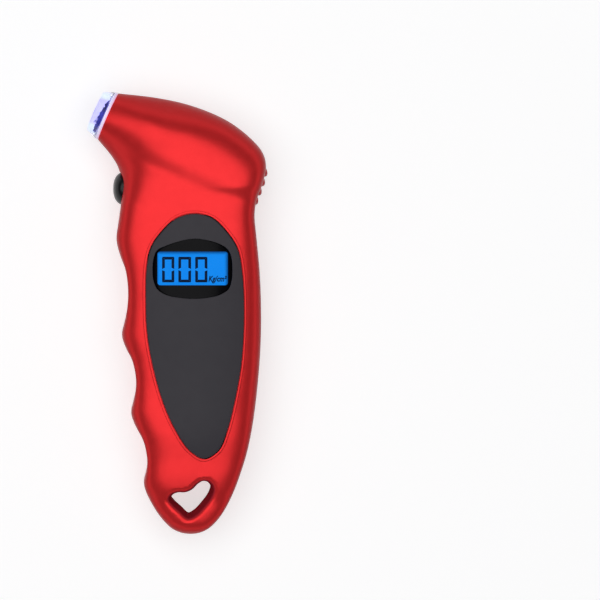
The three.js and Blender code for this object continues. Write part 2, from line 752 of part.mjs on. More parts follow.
const aperture = prism(
  roundedRectangle(
    displayX,
    displayY,
    screenWidth + 2 * apertureMargin,
    screenHeight + 2 * apertureMargin,
    apertureMargin,
  ),
  boardTop,
  bodyDepth,
);
const displayRoom = centredBlock(
  2 * roomHalfWidth,
  2 * roomHalfHeight,
  boardTop,
  glassTop + clearance,
);
const frontHollow = cut(ribbed.intersect(above(seam)), cut(cavity, pocketBacking));
const frontShell = cut(
  joined(frontHollow, cradle.intersect(above(seam)), ...frontBosses, ...boardPosts),
  lipRebate,
  ...pilotHoles,
  ...boardPilots,
  platePocket,
  aperture,
  displayRoom,
  ...openings,
);
addMesh("front_shell", frontShell, 0xc8202a, 0.35, 0.5);

// Battery bay: a shallow part for the coin cell and a deep one for the stack of button cells.
const doorBottom = -padDepth + doorRecess;
const doorTop = doorBottom + doorThickness;
const rebateTop = doorTop + doorRecess;
const coinFloor = doorTop + coinThickness + 3 * clearance + contactThickness;
const cellFloor = doorTop + 2 * cellRadius + 2 * clearance;
const doorLow = doorY - doorLength / 2;
const doorHigh = doorY + doorLength / 2;
const stackHalf = (cellCount * cellThickness) / 2;
const deepHalfWidth = stackHalf + contactRoom + clearance;
const bayHalfWidth = Math.max(coinRadius + coinSideRoom, deepHalfWidth + clearance);
const doorWidth = 2 * (bayHalfWidth + doorLedge);
const bayLow = doorLow + doorLedge;
const bayHigh = doorHigh - doorLedge;
const cellY = bayLow + endRoom + clearance + cellRadius;
const coinY = bayHigh - endRoom - coinRadius;
const deepLow = cellY - cellRadius - clearance;
const deepHigh = cellY + cellRadius + clearance;
function bayBlock(halfWidth, lowY, highY, top, grow) {
  return block(
    point(doorX - halfWidth - grow, lowY - grow, doorTop),
    point(doorX + halfWidth + grow, highY + grow, top + grow),
  );
}
const bayWalls = joined(
  bayBlock(bayHalfWidth, bayLow, bayHigh, coinFloor, bayWall),
  bayBlock(deepHalfWidth, deepLow, deepHigh, cellFloor, bayWall),
).intersect(outer);
const bayRoom = joined(
  bayBlock(bayHalfWidth, bayLow, bayHigh, coinFloor, 0),
  bayBlock(deepHalfWidth, deepLow, deepHigh, cellFloor, 0),
);
const rebateWidth = doorWidth + 2 * clearance;
const doorRebate = joined(
  prism(
    roundedRectangle(doorX, doorY, rebateWidth, doorLength + 2 * clearance, doorCorner),
    -padDepth - overrun,
    rebateTop,
  ),
  block(
    point(doorX - rebateWidth / 2, doorY, -padDepth - overrun),
    point(doorX + rebateWidth / 2, doorHigh + clearance, rebateTop),
  ),
);
const hingeZ = (doorBottom + doorTop) / 2;
const hingeY = doorHigh - doorThickness / 2;
function acrossHinge(radius, halfLength) {
  const geometry = new THREE.CylinderGeometry(radius, radius, 2 * halfLength, smallSteps);
  return solid(geometry.rotateZ(Math.PI / 2).translate(doorX, hingeY, hingeZ));
}
const hingeSocket = acrossHinge(
  hingePinRadius + clearance / 2,
  doorWidth / 2 + hingePinLength + clearance,
);

const rearBosses = screwPlaces.map((p) => post(p, bossRadius, -padDepth, -seam).intersect(outer));
const screwHoles = screwPlaces.map((p) =>
  post(p, screwRadius + clearance / 2, -padDepth - overrun, overrun, smallSteps),
);
const screwWells = screwPlaces.map((p) =>
  post(p, screwHeadRadius + clearance / 2, -padDepth - overrun, screwSeat),
);
const rearHollow = cut(ribbed.intersect(below(-seam)), cavity);
const rearShell = cut(
  joined(rearHollow, lip, cradle.intersect(below(-seam)), bayWalls, ...rearBosses),
  bayRoom,
  doorRebate,
  hingeSocket,
  ...screwHoles,
  ...screwWells,
  ...openings,
);
addMesh("rear_shell", rearShell, 0xc8202a, 0.35, 0.5);

// Battery door: a flat panel with a round hinge edge, two hinge pins and a thumb notch.
const doorBlank = prism(
  roundedRectangle(doorX, doorY - doorCorner / 2, doorWidth, doorLength - doorCorner, doorCorner),
  doorBottom,
  doorTop,
);
const doorShoulder = block(
  point(doorX - doorWidth / 2, doorY, doorBottom),
  point(doorX + doorWidth / 2, hingeY, doorTop),
);
const doorEdge = acrossHinge(doorThickness / 2, doorWidth / 2);
const doorPins = acrossHinge(hingePinRadius, doorWidth / 2 + hingePinLength);
const thumbNotch = post(
  new THREE.Vector2(doorX, doorLow + notchRadius),
  notchRadius,
  doorBottom - overrun,
  doorBottom + notchDepth,
);
const doorPanel = cut(joined(doorBlank, doorShoulder, doorEdge, doorPins), thumbNotch);
addMesh("battery_door", doorPanel, 0xc8202a, 0.4, 0.4);

// Cells and contacts
const coinLow = doorTop + clearance;
addMesh(
  "coin_cell",
  post(new THREE.Vector2(doorX, coinY), coinRadius, coinLow, coinLow + coinThickness, 2 * roundSteps),
  0xc9ccd0,
  0.25,
  1,
);
const contactLow = coinLow + coinThickness + clearance;
addMesh(
  "coin_contact",
  block(
    point(doorX - contactWidth, coinY - contactWidth / 2, contactLow),
    point(doorX + contactWidth, coinY + contactWidth / 2, contactLow + contactThickness),
  ),
  0xd8c48a,
  0.3,
  1,
);
addMesh(
  "coin_clip",
  block(
    point(doorX - bayHalfWidth + clearance, coinY - contactWidth / 2, coinLow),
    point(
      doorX - bayHalfWidth + clearance + contactThickness,
      coinY + contactWidth / 2,
      coinLow + coinThickness,
    ),
  ),
  0xd8c48a,
  0.3,
  1,
);
const cellZ = doorTop + clearance + cellRadius;
for (let k = 0; k < cellCount; k++) {
  const length = cellThickness - clearance / 2;
  const geometry = new THREE.CylinderGeometry(cellRadius, cellRadius, length, roundSteps);
  const middle = doorX - stackHalf + (k + 1 / 2) * cellThickness;
  geometry.rotateZ(Math.PI / 2).translate(middle, cellY, cellZ);
  addMesh("button_cell_" + (k + 1), solid(geometry), 0xc9ccd0, 0.25, 1);
}
// A leaf contact: a thin strip that bows from the bay's wall towards the stack.
const leafReach = contactRoom - contactThickness - clearance / 2;
for (const [name, side] of [["cell_contact_left", -1], ["cell_contact_right", 1]]) {
  const foot = doorX + side * (deepHalfWidth - clearance - contactThickness);
  const strip = (thickness) => {
    const line = [];
    for (let k = 0; k <= contactSteps; k++) {
      const t = (2 * k) / contactSteps - 1;
      const bow = leafReach - leafReach * t * t;
      const x = foot - side * bow + side * thickness;
      line.push(new THREE.Vector2(x, -cellZ - (t * contactWidth) / 2));
    }
    return line;
  };
  const leaf = [...strip(0), ...strip(contactThickness).reverse()];
  const geometry = new THREE.ExtrudeGeometry(new THREE.Shape(leaf), {
    depth: contactWidth,
    bevelEnabled: false,
  });
  geometry.translate(0, 0, -contactWidth / 2).rotateX(-Math.PI / 2).translate(0, cellY, 0);
  addMesh(name, solid(geometry), 0xd8c48a, 0.3, 1);
}

// Faceplate: an upright prism of even thickness under a crowned top
const plateLayer = layer(
  point(-halfGrip, lipStart, 0),
  point(halfGrip, neckY, 0),
  plateUnder,
  plateTop,
  plateFineness,
);
const plate = cut(
  plateLayer.intersect(prism(plateOutline, 0, bodyDepth)),
  prism(grown(windowOutline, clearance / 2), 0, bodyDepth),
);
addMesh("faceplate", plate, 0x3e3c42, 0.45, 0.1);

// Display window: a dish whose rim meets the faceplate and whose middle is flat.
function windowTop(x, y) {
  const [halfW, halfH] = [screenWidth / 2 - windowFlange, screenHeight / 2];
  const outX = Math.max(Math.abs(x - displayX) - halfW, 0);
  const outY = Math.max(Math.abs(y - displayY) - halfH, 0);
  const rise = THREE.MathUtils.smoothstep(Math.hypot(outX, outY), 0, windowSlope);
  return THREE.MathUtils.lerp(windowFlat, Math.max(plateTop(x, y) - windowLip, windowFlat), rise);
}
const windowLayer = layer(
  point(displayX - halfGrip, displayY - glassHeight, 0),
  point(displayX + halfGrip, displayY + glassHeight, 0),
  plateUnder,
  windowTop,
  windowFineness,
);
addMesh(
  "display_lens",
  windowLayer.intersect(prism(windowOutline, 0, bodyDepth)),
  0x0c0c10,
  0.12,
  0,
);

// Display stack: frame, glass, backlight and the two rubber contact strips under the glass.
const stackBase = boardTop + clearance;
const glassBottom = glassTop - glassThickness;
addMesh(
  "lcd_frame",
  cut(
    centredBlock(
      glassWidth + 2 * (frameWall + frameGap),
      glassHeight + 2 * (frameWall + frameGap),
      stackBase,
      glassTop,
    ),
    centredBlock(glassWidth + 2 * frameGap, glassHeight + 2 * frameGap, 0, bodyDepth),
  ),
  0x26272b,
  0.6,
  0,
);
addMesh("lcd_glass", centredBlock(glassWidth, glassHeight, glassBottom, glassTop), 0x0a84f0, 0.2, 0);
const backlightHeight = glassHeight - 2 * backlightInset;
addMesh(
  "backlight_panel",
  centredBlock(glassWidth, backlightHeight, stackBase, glassBottom - clearance),
  0xdfe8f2,
  0.5,
  0,
);
const stripShift = (glassHeight - stripThickness) / 2;
for (const [name, side] of [["contact_strip_upper", 1], ["contact_strip_lower", -1]])
  addMesh(
    name,
    centredBlock(screenWidth, stripThickness, stackBase, glassBottom - clearance, side * stripShift),
    0x3a3a44,
    0.8,
    0,
  );

// Circuit board with the chip's epoxy dome and the pressure sensor on its underside
const stemFrontX = buttonBackX + clearance;
const switchFrontX = stemFrontX + stemLength - stemInsertion;
const switchCorner = block(
  point(boardLeft - overrun, buttonY - switchSide / 2 - clearance, boardBottom - overrun),
  point(switchFrontX + switchDepth + clearance, boardHigh + overrun, boardTop + overrun),
);
addMesh(
  "circuit_board",
  cut(
    prism(
      roundedRectangle(
        (boardLeft + boardRight) / 2,
        (boardLow + boardHigh) / 2,
        boardRight - boardLeft,
        boardHigh - boardLow,
        boardCorner,
      ),
      boardBottom,
      boardTop,
    ),
    switchCorner,
    ...boardPilots,
  ),
  0x1d6b3a,
  0.5,
  0,
);
boardPlaces.forEach((place, k) =>
  addMesh(
    "board_screw_" + (k + 1),
    solid(
      screwShape(
        boardBottom - clearance / 2,
        boardHeadRadius,
        boardHeadHeight,
        boardScrewRadius,
        boardScrewLength,
        smallSteps,
      ).translate(place.x, place.y, 0),
    ),
    0x8a8c92,
    0.35,
    1,
  ),
);
const domeProfile = [[0, 0]];
for (let k = 0; k <= smallSteps / 2; k++) {
  const angle = (k * Math.PI) / smallSteps;
  domeProfile.push([chipRadius * Math.cos(angle), -chipHeight * Math.sin(angle)]);
}
domeProfile[domeProfile.length - 1][0] = 0;
const { x: chipX, y: chipY } = placed(chipShares);
const chip = turned(domeProfile).translate(chipX, chipY, boardBottom - clearance / 2);
addMesh("chip_cover", solid(chip), 0x14151a, 0.4, 0);

const { x: sensorX, y: sensorY } = placed(sensorShares);
const sensorTop = boardBottom - clearance / 2;
const portZ = sensorTop - sensorHeight / 2;
const sensorPort = new THREE.CylinderGeometry(
  sensorPortRadius,
  sensorPortRadius,
  sensorSide / 2 + sensorPortLength,
  smallSteps,
).translate(sensorX, sensorY + (sensorSide / 2 + sensorPortLength) / 2, portZ);
addMesh(
  "pressure_sensor",
  joined(
    block(
      point(sensorX - sensorSide / 2, sensorY - sensorSide / 2, sensorTop - sensorHeight),
      point(sensorX + sensorSide / 2, sensorY + sensorSide / 2, sensorTop),
    ),
    solid(sensorPort),
  ),
  0xe8e6e0,
  0.5,
  0,
);

// Nozzle tip: a clear ring with the valve mouth, a spigot and a flange that the shells hold.
const sealLevel = tipLength - mouthDepth; // the seal's seat
addMesh(
  "nozzle_tip",
  solid(
    onNozzle(
      turned(
        [
          [backBoreRadius, -tipInsertion],
          [tipFlangeRadius, -tipInsertion],
          [tipFlangeRadius, -tipInsertion + tipFlangeThickness],
          [tipSpigotRadius, -tipInsertion + tipFlangeThickness],
          [tipSpigotRadius, clearance],
          [nozzleRadius, clearance],
          [nozzleRadius - tipEdge / 2, tipLength / 2],
          [tipFaceRadius + tipEdge, tipLength - tipEdge],
          [tipFaceRadius, tipLength],
          [mouthRadius + mouthChamfer, tipLength],
          [mouthRadius, tipLength - mouthChamfer],
          [mouthRadius, sealLevel],
          [backBoreRadius, sealLevel],
          [backBoreRadius, -tipInsertion],
        ],
        roundSteps + smallSteps,
      ),
    ),
  ),
  0xdfe4ff,
  0.08,
  0,
);
const sealFace = sealLevel + clearance / 2 + sealThickness;
addMesh(
  "nozzle_seal",
  solid(
    onNozzle(
      turned([
        [sealHoleRadius, sealLevel + clearance / 2],
        [mouthRadius - clearance / 2, sealLevel + clearance / 2],
        [mouthRadius - clearance / 2, sealFace],
        [sealHoleRadius, sealFace],
        [sealHoleRadius, sealLevel + clearance / 2],
      ]),
    ),
  ),
  0xf2f2f4,
  0.6,
  0,
);
const pinTop = tipLength - pinTipDepth;
addMesh(
  "valve_pin",
  solid(
    onNozzle(
      turned(
        [
          [0, pinTop - pinLength],
          [pinRadius, pinTop - pinLength],
          [pinRadius, pinTop - pinRadius / 2],
          [pinRadius / 2, pinTop],
          [0, pinTop],
        ],
        smallSteps,
      ),
    ),
  ),
  0xb08a4a,
  0.3,
  1,
);

// Valve block: a nose in the tip's back bore, a body, and a spigot for the tube.
const blockFront = -tipInsertion - clearance;
const blockBack = blockFront - blockLength;
const spigotEnd = blockBack - spigotLength;
addMesh(
  "valve_block",
  solid(
    onNozzle(
      turned([
        [pinRadius + clearance / 2, blockFront + noseLength],
        [noseRadius, blockFront + noseLength],
        [noseRadius, blockFront],
        [blockRadius, blockFront],
        [blockRadius, blockBack],
        [spigotRadius, blockBack],
        [spigotRadius, spigotEnd],
        [passageRadius, spigotEnd],
        [passageRadius, pinTop - pinLength - clearance],
        [pinRadius + clearance / 2, pinTop - pinLength - clearance],
        [pinRadius + clearance / 2, blockFront + noseLength],
      ]),
    ),
  ),
  0x2b2c30,
  0.5,
  0,
);
const ringGap = clearance / 2;
addMesh(
  "sealing_ring",
  solid(
    onNozzle(
      new THREE.TorusGeometry(
        noseRadius + ringGap + ringWire,
        ringWire,
        ringWireSteps,
        smallSteps,
      ).translate(0, 0, blockFront + ringGap + ringWire),
    ),
  ),
  0x151515,
  0.7,
  0,
);

// Tube from the valve block's spigot to the sensor's port
const blockHeel = nozzleJoint.clone().addScaledVector(nozzleOut, blockBack - clearance);
const tubeStart = point(blockHeel.x, blockHeel.y, 0);
const tubeEnd = point(sensorX, sensorY + sensorSide / 2 + clearance, portZ);
const inwards = point(-nozzleOut.x, -nozzleOut.y, 0);
const tubePath = new THREE.CubicBezierCurve3(
  tubeStart,
  tubeStart.clone().addScaledVector(inwards, tubeReach),
  tubeEnd.clone().add(point(0, tubeReach, 0)),
  tubeEnd,
);
const tubeSection = new THREE.Shape().absarc(0, 0, tubeOuterRadius, 0, 2 * Math.PI);
tubeSection.holes.push(new THREE.Path().absarc(0, 0, tubeBoreRadius, 0, 2 * Math.PI, true));
addMesh(
  "sensor_tube",
  solid(
    new THREE.ExtrudeGeometry(tubeSection, {
      steps: tubeSteps,
      curveSegments: smallSteps / 2,
      extrudePath: tubePath,
    }),
  ),
  0xe6e9ea,
  0.4,
  0,
);

// Two lamps beside the valve block, shining into the tip's flange
for (const [name, side] of [["nozzle_lamp_upper", 1], ["nozzle_lamp_lower", -1]]) {
  const front = blockFront;
  const profile = [[0, front - lampLength], [lampFlangeRadius, front - lampLength]];
  profile.push([lampFlangeRadius, front - lampLength + lampFlangeThickness]);
  profile.push([lampRadius, front - lampLength + lampFlangeThickness]);
  for (let k = 0; k <= cornerSteps; k++) {
    const angle = (k * Math.PI) / 2 / cornerSteps;
    profile.push([lampRadius * Math.cos(angle), front - lampRadius * (1 - Math.sin(angle))]);
  }
  profile[profile.length - 1][0] = 0;
  const geometry = turned(profile, smallSteps).translate(side * lampAside, 0, 0);
  addMesh(name, solid(onNozzle(geometry)), 0x2440ff, 0.1, 0);
}

// Power button: an oval cap with a dome, a skirt, a flange behind the wall and a middle post.
const domeFootX = buttonApexX + buttonDome;
const capRadius = buttonHalfWidth;
const capProfile = [
  [0, buttonBackX],
  [buttonPostRadius, buttonBackX],
  [buttonPostRadius, domeFootX + buttonRoof],
  [capRadius - buttonSkirt, domeFootX + buttonRoof],
  [capRadius - buttonSkirt, buttonBackX],
  [capRadius + buttonFlange, buttonBackX],
  [capRadius + buttonFlange, flangeFrontX],
  [capRadius, flangeFrontX],
];
for (let k = 0; k <= smallSteps / 2; k++) {
  const angle = (k * Math.PI) / smallSteps;
  capProfile.push([capRadius * Math.cos(angle), domeFootX - buttonDome * Math.sin(angle)]);
}
capProfile[capProfile.length - 1][0] = 0;
const cap = turned(capProfile, 2 * smallSteps)
  .rotateY(Math.PI / 2)
  .scale(1, buttonHalfHeight / buttonHalfWidth, 1)
  .translate(0, buttonY, 0);
addMesh("power_button", solid(cap), 0x1b1b1d, 0.15, 0);

// Switch behind the button, at the board's edge
const switchBox = block(
  point(switchFrontX, buttonY - switchSide / 2, -switchSide / 2),
  point(switchFrontX + switchDepth, buttonY + switchSide / 2, switchSide / 2),
);
function alongX(radius, fromX, toX) {
  const geometry = new THREE.CylinderGeometry(radius, radius, toX - fromX, smallSteps);
  return solid(geometry.rotateZ(Math.PI / 2).translate((fromX + toX) / 2, buttonY, 0));
}
addMesh(
  "switch_body",
  cut(
    switchBox,
    alongX(
      stemRadius + clearance / 2,
      switchFrontX - overrun,
      stemFrontX + stemLength + buttonTravel + clearance,
    ),
  ),
  0x222226,
  0.5,
  0,
);
addMesh("switch_stem", alongX(stemRadius, stemFrontX, stemFrontX + stemLength), 0xd9d4c8, 0.5, 0);

// Shell screws, head down in the wells of the rear shell
screwPlaces.forEach((place, k) => {
  const seat = screwSeat - clearance;
  const shape = screwShape(
    seat,
    screwHeadRadius,
    screwHeadHeight,
    screwRadius,
    screwLength,
    roundSteps,
  );
  const body = solid(shape.translate(place.x, place.y, 0));
  const slot = (halfX, halfY) =>
    block(
      point(place.x - halfX, place.y - halfY, seat - screwHeadHeight - overrun),
      point(place.x + halfX, place.y + halfY, seat - screwHeadHeight + crossDepth),
    );
  addMesh(
    "shell_screw_" + (k + 1),
    cut(body, slot(crossReach, crossWidth / 2), slot(crossWidth / 2, crossReach)),
    0x6c6e74,
    0.35,
    1,
  );
});

// The origin is the middle of the bottom of the whole gauge.
const box = new THREE.Box3().setFromObject(group);
const middle = box.getCenter(point(0, 0, 0));
group.position.set(-middle.x, -middle.y, -box.min.z);

export default group;
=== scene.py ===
import math

import bmesh
import bpy
import numpy as np
from mathutils import Matrix, Vector
from mathutils.bvhtree import BVHTree


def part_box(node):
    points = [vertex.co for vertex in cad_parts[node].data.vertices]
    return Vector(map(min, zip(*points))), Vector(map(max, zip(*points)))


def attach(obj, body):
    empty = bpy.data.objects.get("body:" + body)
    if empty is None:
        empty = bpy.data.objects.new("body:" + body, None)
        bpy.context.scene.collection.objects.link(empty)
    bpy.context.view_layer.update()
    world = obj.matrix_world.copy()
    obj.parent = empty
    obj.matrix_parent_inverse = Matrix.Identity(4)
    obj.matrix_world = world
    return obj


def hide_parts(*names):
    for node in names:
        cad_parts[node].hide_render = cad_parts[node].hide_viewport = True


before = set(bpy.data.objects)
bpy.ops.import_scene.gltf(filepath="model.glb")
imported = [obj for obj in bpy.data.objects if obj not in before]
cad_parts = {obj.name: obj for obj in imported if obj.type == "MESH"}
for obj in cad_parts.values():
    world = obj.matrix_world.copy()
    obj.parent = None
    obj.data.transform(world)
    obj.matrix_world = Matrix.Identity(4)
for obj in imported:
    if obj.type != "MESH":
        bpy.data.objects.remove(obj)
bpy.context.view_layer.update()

# Digital tire pressure gauge, dressed round its CAD pieces.
# Shapes are drawn in millimetres from the lanyard end (x, y = 0) and the seam plane (z = 0), as the
# CAD pieces are, and settle() puts each finished piece in the row frame, in metres.

# Sizes of the body, in millimetres
LENGTH = 150
HALF_GRIP = 22.5
HALF_DEPTH = 14.9
PAD_DEPTH = 0.966 * HALF_DEPTH
WALL = 2
SEAM = 0.1  # half the gap between the shells
SEAM_ROUND = 0.2
NECK = 0.747
NECK_Y = NECK * LENGTH
CLEAR = 0.3

# Outlines as shares of HALF_GRIP and LENGTH, seen from the front
FINGER_SIDE = [
    (0, 0), (-0.25, 0.01), (-0.436, 0.037), (-0.573, 0.068), (-0.676, 0.1), (-0.702, 0.121),
    (-0.658, 0.151), (-0.644, 0.177), (-0.693, 0.212), (-0.813, 0.243), (-0.893, 0.277),
    (-0.849, 0.309), (-0.804, 0.349), (-0.858, 0.391), (-0.964, 0.421), (-1.031, 0.453),
    (-0.982, 0.487), (-0.924, 0.542), (-0.956, 0.591), (-1.053, 0.631), (-1.111, 0.667),
    (-1.08, 0.707), (-1.04, 0.753), (-1.04, 0.793), (-1.08, 0.829), (-1.187, 0.857),
    (-1.387, 0.893),
]
CREST_LINE = [
    (0, 0), (-0.25, 0.01), (-0.436, 0.037), (-0.573, 0.068), (-0.676, 0.1), (-0.715, 0.125),
    (-0.8, 0.2), (-0.893, 0.277), (-0.965, 0.365), (-1.031, 0.453), (-1.08, 0.56),
    (-1.111, 0.667), (-1.085, 0.71), (-1.04, 0.753),
]
THUMB_SIDE = [
    (0, 0), (0.24, 0.01), (0.431, 0.037), (0.56, 0.068), (0.667, 0.103), (0.756, 0.14),
    (0.849, 0.185), (0.942, 0.253), (1.013, 0.337), (1.058, 0.427), (1.067, 0.507),
    (1.044, 0.593), (0.991, 0.677), (0.964, 0.723), (0.996, 0.757), (1.084, 0.792),
    (1.142, 0.832), (1.093, 0.864), (0.911, 0.897), (0.551, 0.938), (0, 0.972),
    (-0.533, 0.989), (-1.076, 0.998),
]
# Crowns: height along the gauge as a share of LENGTH, depth as a share of HALF_DEPTH
TOE_CROWN = [
    (0, 0), (0.01, 0.336), (0.025, 0.45), (0.051, 0.507), (0.079, 0.537), (0.106, 0.624),
    (0.133, 0.678), (0.173, 0.725), (0.227, 0.799),
]
FRONT_CROWN = TOE_CROWN + [(0.3, 0.832), (0.4, 0.839), (0.6, 0.846), (NECK, 0.866)]
BACK_CROWN = TOE_CROWN + [
    (0.29, 0.9), (0.34, 0.99), (0.5, 1.04), (0.63, 1.02), (0.67, 0.99), (0.7, 0.92),
    (NECK, 0.852),
]
# Barrels: depth of the crown over the distance from the nozzle, as shares of the same sizes
FRONT_BARREL = [
    (0, 0.58), (0.04, 0.698), (0.09, 0.826), (0.16, 0.94), (0.22, 0.98), (0.28, 1), (0.42, 0.97),
]
BACK_BARREL = [
    (0, 0.58), (0.04, 0.698), (0.09, 0.812), (0.16, 0.913), (0.22, 0.94), (0.28, 0.95),
    (0.42, 0.93),
]
HEAD_DEPTH = 14.37
# How square the sections are along the grip, and how much squarer on the thumb side
GRIP_SQUARE = [(0, 2), (0.03, 2.7), (0.08, 3.6), (0.2, 4.2), (NECK, 4.2)]
THUMB_SQUARE = [(0, 1.6), (0.14, 1.6), (0.3, 0), (0.5, 0), (0.72, 1.6), (NECK, 1.6)]
THUMB_FADE = 0.3
HEAD_ROUND, SQUARE_FADE = 2.0, (-0.12, 0.62)
# Below the barrel: where it drops to the grip, and the crease along that drop
BARREL_FADE, BARREL_LOW, BARREL_HIGH, BARREL_FAN = (4, 20), -11.8, -3.8, (0.1, 0.35)
FAN_CHANGE = (15, 45)
CREASE = [(0, 0.2), (6, 0.7), (17, 0.8), (25, 0.35), (34, 0.05), (45, 0.15), (52, 0.1), (60, 0)]
CREASE_SIDE, CREASE_WIDE = -10.2, 3.3
# How the barrel falls away towards the top, along the gauge from the nozzle
SHOULDER = [(0, 0), (7, 0.045), (17, 0.05), (27, 0.01), (36, 0)]
SHOULDER_FAN = 0.2
PAD_EASE = 0.12  # roundness of the back pad's edge
START_EASE = 0.15  # share of the grip's sections that crowd towards the lanyard end
GROOVE_FADE = (0.4, 0.85)
GROOVE_LOSS = 0.6

PLATE = [
    (0.067, 0.726), (-0.2, 0.716), (-0.4, 0.69), (-0.578, 0.653), (-0.653, 0.61),
    (-0.671, 0.545), (-0.653, 0.461), (-0.58, 0.391), (-0.42, 0.303), (-0.231, 0.238),
    (-0.009, 0.189), (0.209, 0.17), (0.427, 0.189), (0.556, 0.233), (0.667, 0.297),
    (0.778, 0.393), (0.813, 0.522), (0.773, 0.61), (0.711, 0.648), (0.556, 0.684),
    (0.333, 0.716),
]
WINDOW = [
    (-0.37, 0.653), (-0.5, 0.643), (-0.556, 0.622), (-0.567, 0.6), (-0.556, 0.577),
    (-0.5, 0.556), (-0.37, 0.543), (-0.15, 0.536), (0.05, 0.534), (0.25, 0.536), (0.45, 0.543),
    (0.58, 0.556), (0.627, 0.577), (0.635, 0.6), (0.627, 0.622), (0.58, 0.643), (0.45, 0.657),
    (0.25, 0.666), (0.05, 0.669), (-0.15, 0.664),
]
HEART = [
    (-0.03, 0.034), (-0.16, 0.05), (-0.28, 0.067), (-0.325, 0.078), (-0.28, 0.089),
    (-0.18, 0.0945), (-0.08, 0.0945), (0.01, 0.1), (0.1, 0.113), (0.19, 0.12), (0.29, 0.117),
    (0.35, 0.103), (0.32, 0.084), (0.21, 0.061), (0.08, 0.041),
]

# Outlines on the crown look larger from the photograph's height than they are
VIEW_FOOT, CROWN_LOOK, HEART_LOOK = (-8.3, 85.2), 0.984, 0.989
HEART_RIM, HEART_BACK_RIM, HEART_DRAFT = 1.6, 1.0, 0.8
HEART_SHADE_FADE = (0.25, 0.75)  # distances from the heart's wall over which its painted shade ends

DISPLAY = (0.031 * HALF_GRIP, 0.602 * LENGTH)
SCREEN = (23.6, 11.3)
GLASS = (27, 16)
GLASS_SINK = 5
PLATE_RISE, PLATE_END_RISE, PLATE_THICK, PLATE_RADIUS = 1.4, 0.25, 1.9, 75
WINDOW_LIP, WINDOW_BOW = 0.12, 0.01
TIP_DRAWN_IN = 0.12  # the clear tip's edge inside the shells' edge
TINY = 0.01


# Lines and tables ---------------------------------------------------------------------------

def spline(points, steps=24, closed=False):
    """Centripetal Catmull-Rom line through the points, its open start mirrored in y = 0."""
    points = [np.array(p, float) for p in points]
    if closed:
        chain = [points[-1], *points, points[0], points[1]]
    else:
        chain = [points[1] * (-1, 1), *points, 2 * points[-1] - points[-2]]
    line = []
    for a, b, c, d in zip(chain, chain[1:], chain[2:], chain[3:]):
        da, db, dc = (max(np.linalg.norm(q - p) ** 0.5, 1e-6) for p, q in ((a, b), (b, c), (c, d)))
        start = ((b - a) / da - (c - a) / (da + db) + (c - b) / db) * db
        end = ((c - b) / db - (d - b) / (db + dc) + (d - c) / dc) * db
        for k in range(steps):
            t = k / steps
            line.append(
                b * (2 * t**3 - 3 * t**2 + 1) + c * (3 * t**2 - 2 * t**3)
                + start * (t**3 - 2 * t**2 + t) + end * (t**3 - t**2)
            )
    if not closed:
        line.append(points[-1])
    return np.array(line)


def smoothed(line, passes=30):
    """The line with its small bends evened out, its ends kept."""
    line = line.copy()
    for _ in range(passes):
        line[1:-1] = (line[:-2] + 2 * line[1:-1] + line[2:]) / 4
    return line


def scaled(shares):
    """Outline points in millimetres."""
    return [(x * HALF_GRIP, y * LENGTH) for x, y in shares]


def table(pairs):
    """A smooth run of values through pairs of place and value."""
    places, values = zip(*pairs)
    fine = np.linspace(places[0], places[-1], 400)
    line = smoothed(np.column_stack([fine, np.interp(fine, places, values)]), 250)
    return lambda x: np.interp(x, line[:, 0], line[:, 1])


def smoothstep(x, low, high):
    """An eased rise from 0 at low to 1 at high."""
    t = np.clip((np.asarray(x, float) - low) / (high - low), 0, 1)
    return t * t * (3 - 2 * t)


finger_side = smoothed(spline(scaled(FINGER_SIDE)))
crest_line = smoothed(spline(scaled(CREST_LINE)))
thumb_side = smoothed(spline(scaled(THUMB_SIDE)))
crown_lines = {
    True: smoothed(spline([(d * HALF_DEPTH, y * LENGTH) for y, d in FRONT_CROWN])),
    False: smoothed(spline([(d * HALF_DEPTH, y * LENGTH) for y, d in BACK_CROWN])),
}
barrels = {True: table(FRONT_BARREL), False: table(BACK_BARREL)}
grip_square = table(GRIP_SQUARE)
thumb_square = table(THUMB_SQUARE)
crease_depth = table(CREASE)
shoulder_fall = table(SHOULDER)


def across_at(line, y):
    """Where a line stands across the gauge at a height."""
    return np.interp(y, line[:, 1], line[:, 0])


def line_above(line, y):
    """The part of a line above a height."""
    return np.array([(across_at(line, y), y), *line[line[:, 1] > y]])


def run_along(line):
    """The length of a line up to each of its points."""
    return np.concatenate([[0], np.cumsum(np.linalg.norm(np.diff(line, axis=0), axis=1))])


def along_line(line, share):
    """The point at a share of a line's length."""
    lengths = run_along(line)
    place = share * lengths[-1]
    return np.array([np.interp(place, lengths, line[:, 0]), np.interp(place, lengths, line[:, 1])])


finger_head = line_above(finger_side, NECK_Y)
thumb_head = line_above(thumb_side, NECK_Y)
joint_low, joint_high = finger_side[-1], thumb_side[-1]
joint = (joint_low + joint_high) / 2
chord = joint_high - joint_low
nozzle_out = np.array([-chord[1], chord[0]]) / np.linalg.norm(chord)
nozzle_radius = np.linalg.norm(chord) / 2 - TIP_DRAWN_IN


def superellipse(steps, square):
    """Points over half a section, from the thumb side (1, 0) to the finger side (-1, 0)."""
    angle = np.linspace(0, math.pi, steps + 1)
    c, s = np.cos(angle), np.sin(angle)
    r = (np.abs(c) ** square + np.abs(s) ** square) ** (-1 / square)
    return c * r, np.abs(s * r)


def from_nozzle(points):
    """How far points lie from the nozzle's joint, along its axis and aside from it."""
    away = points - joint
    return -away @ nozzle_out, away[:, 0] * nozzle_out[1] - away[:, 1] * nozzle_out[0]


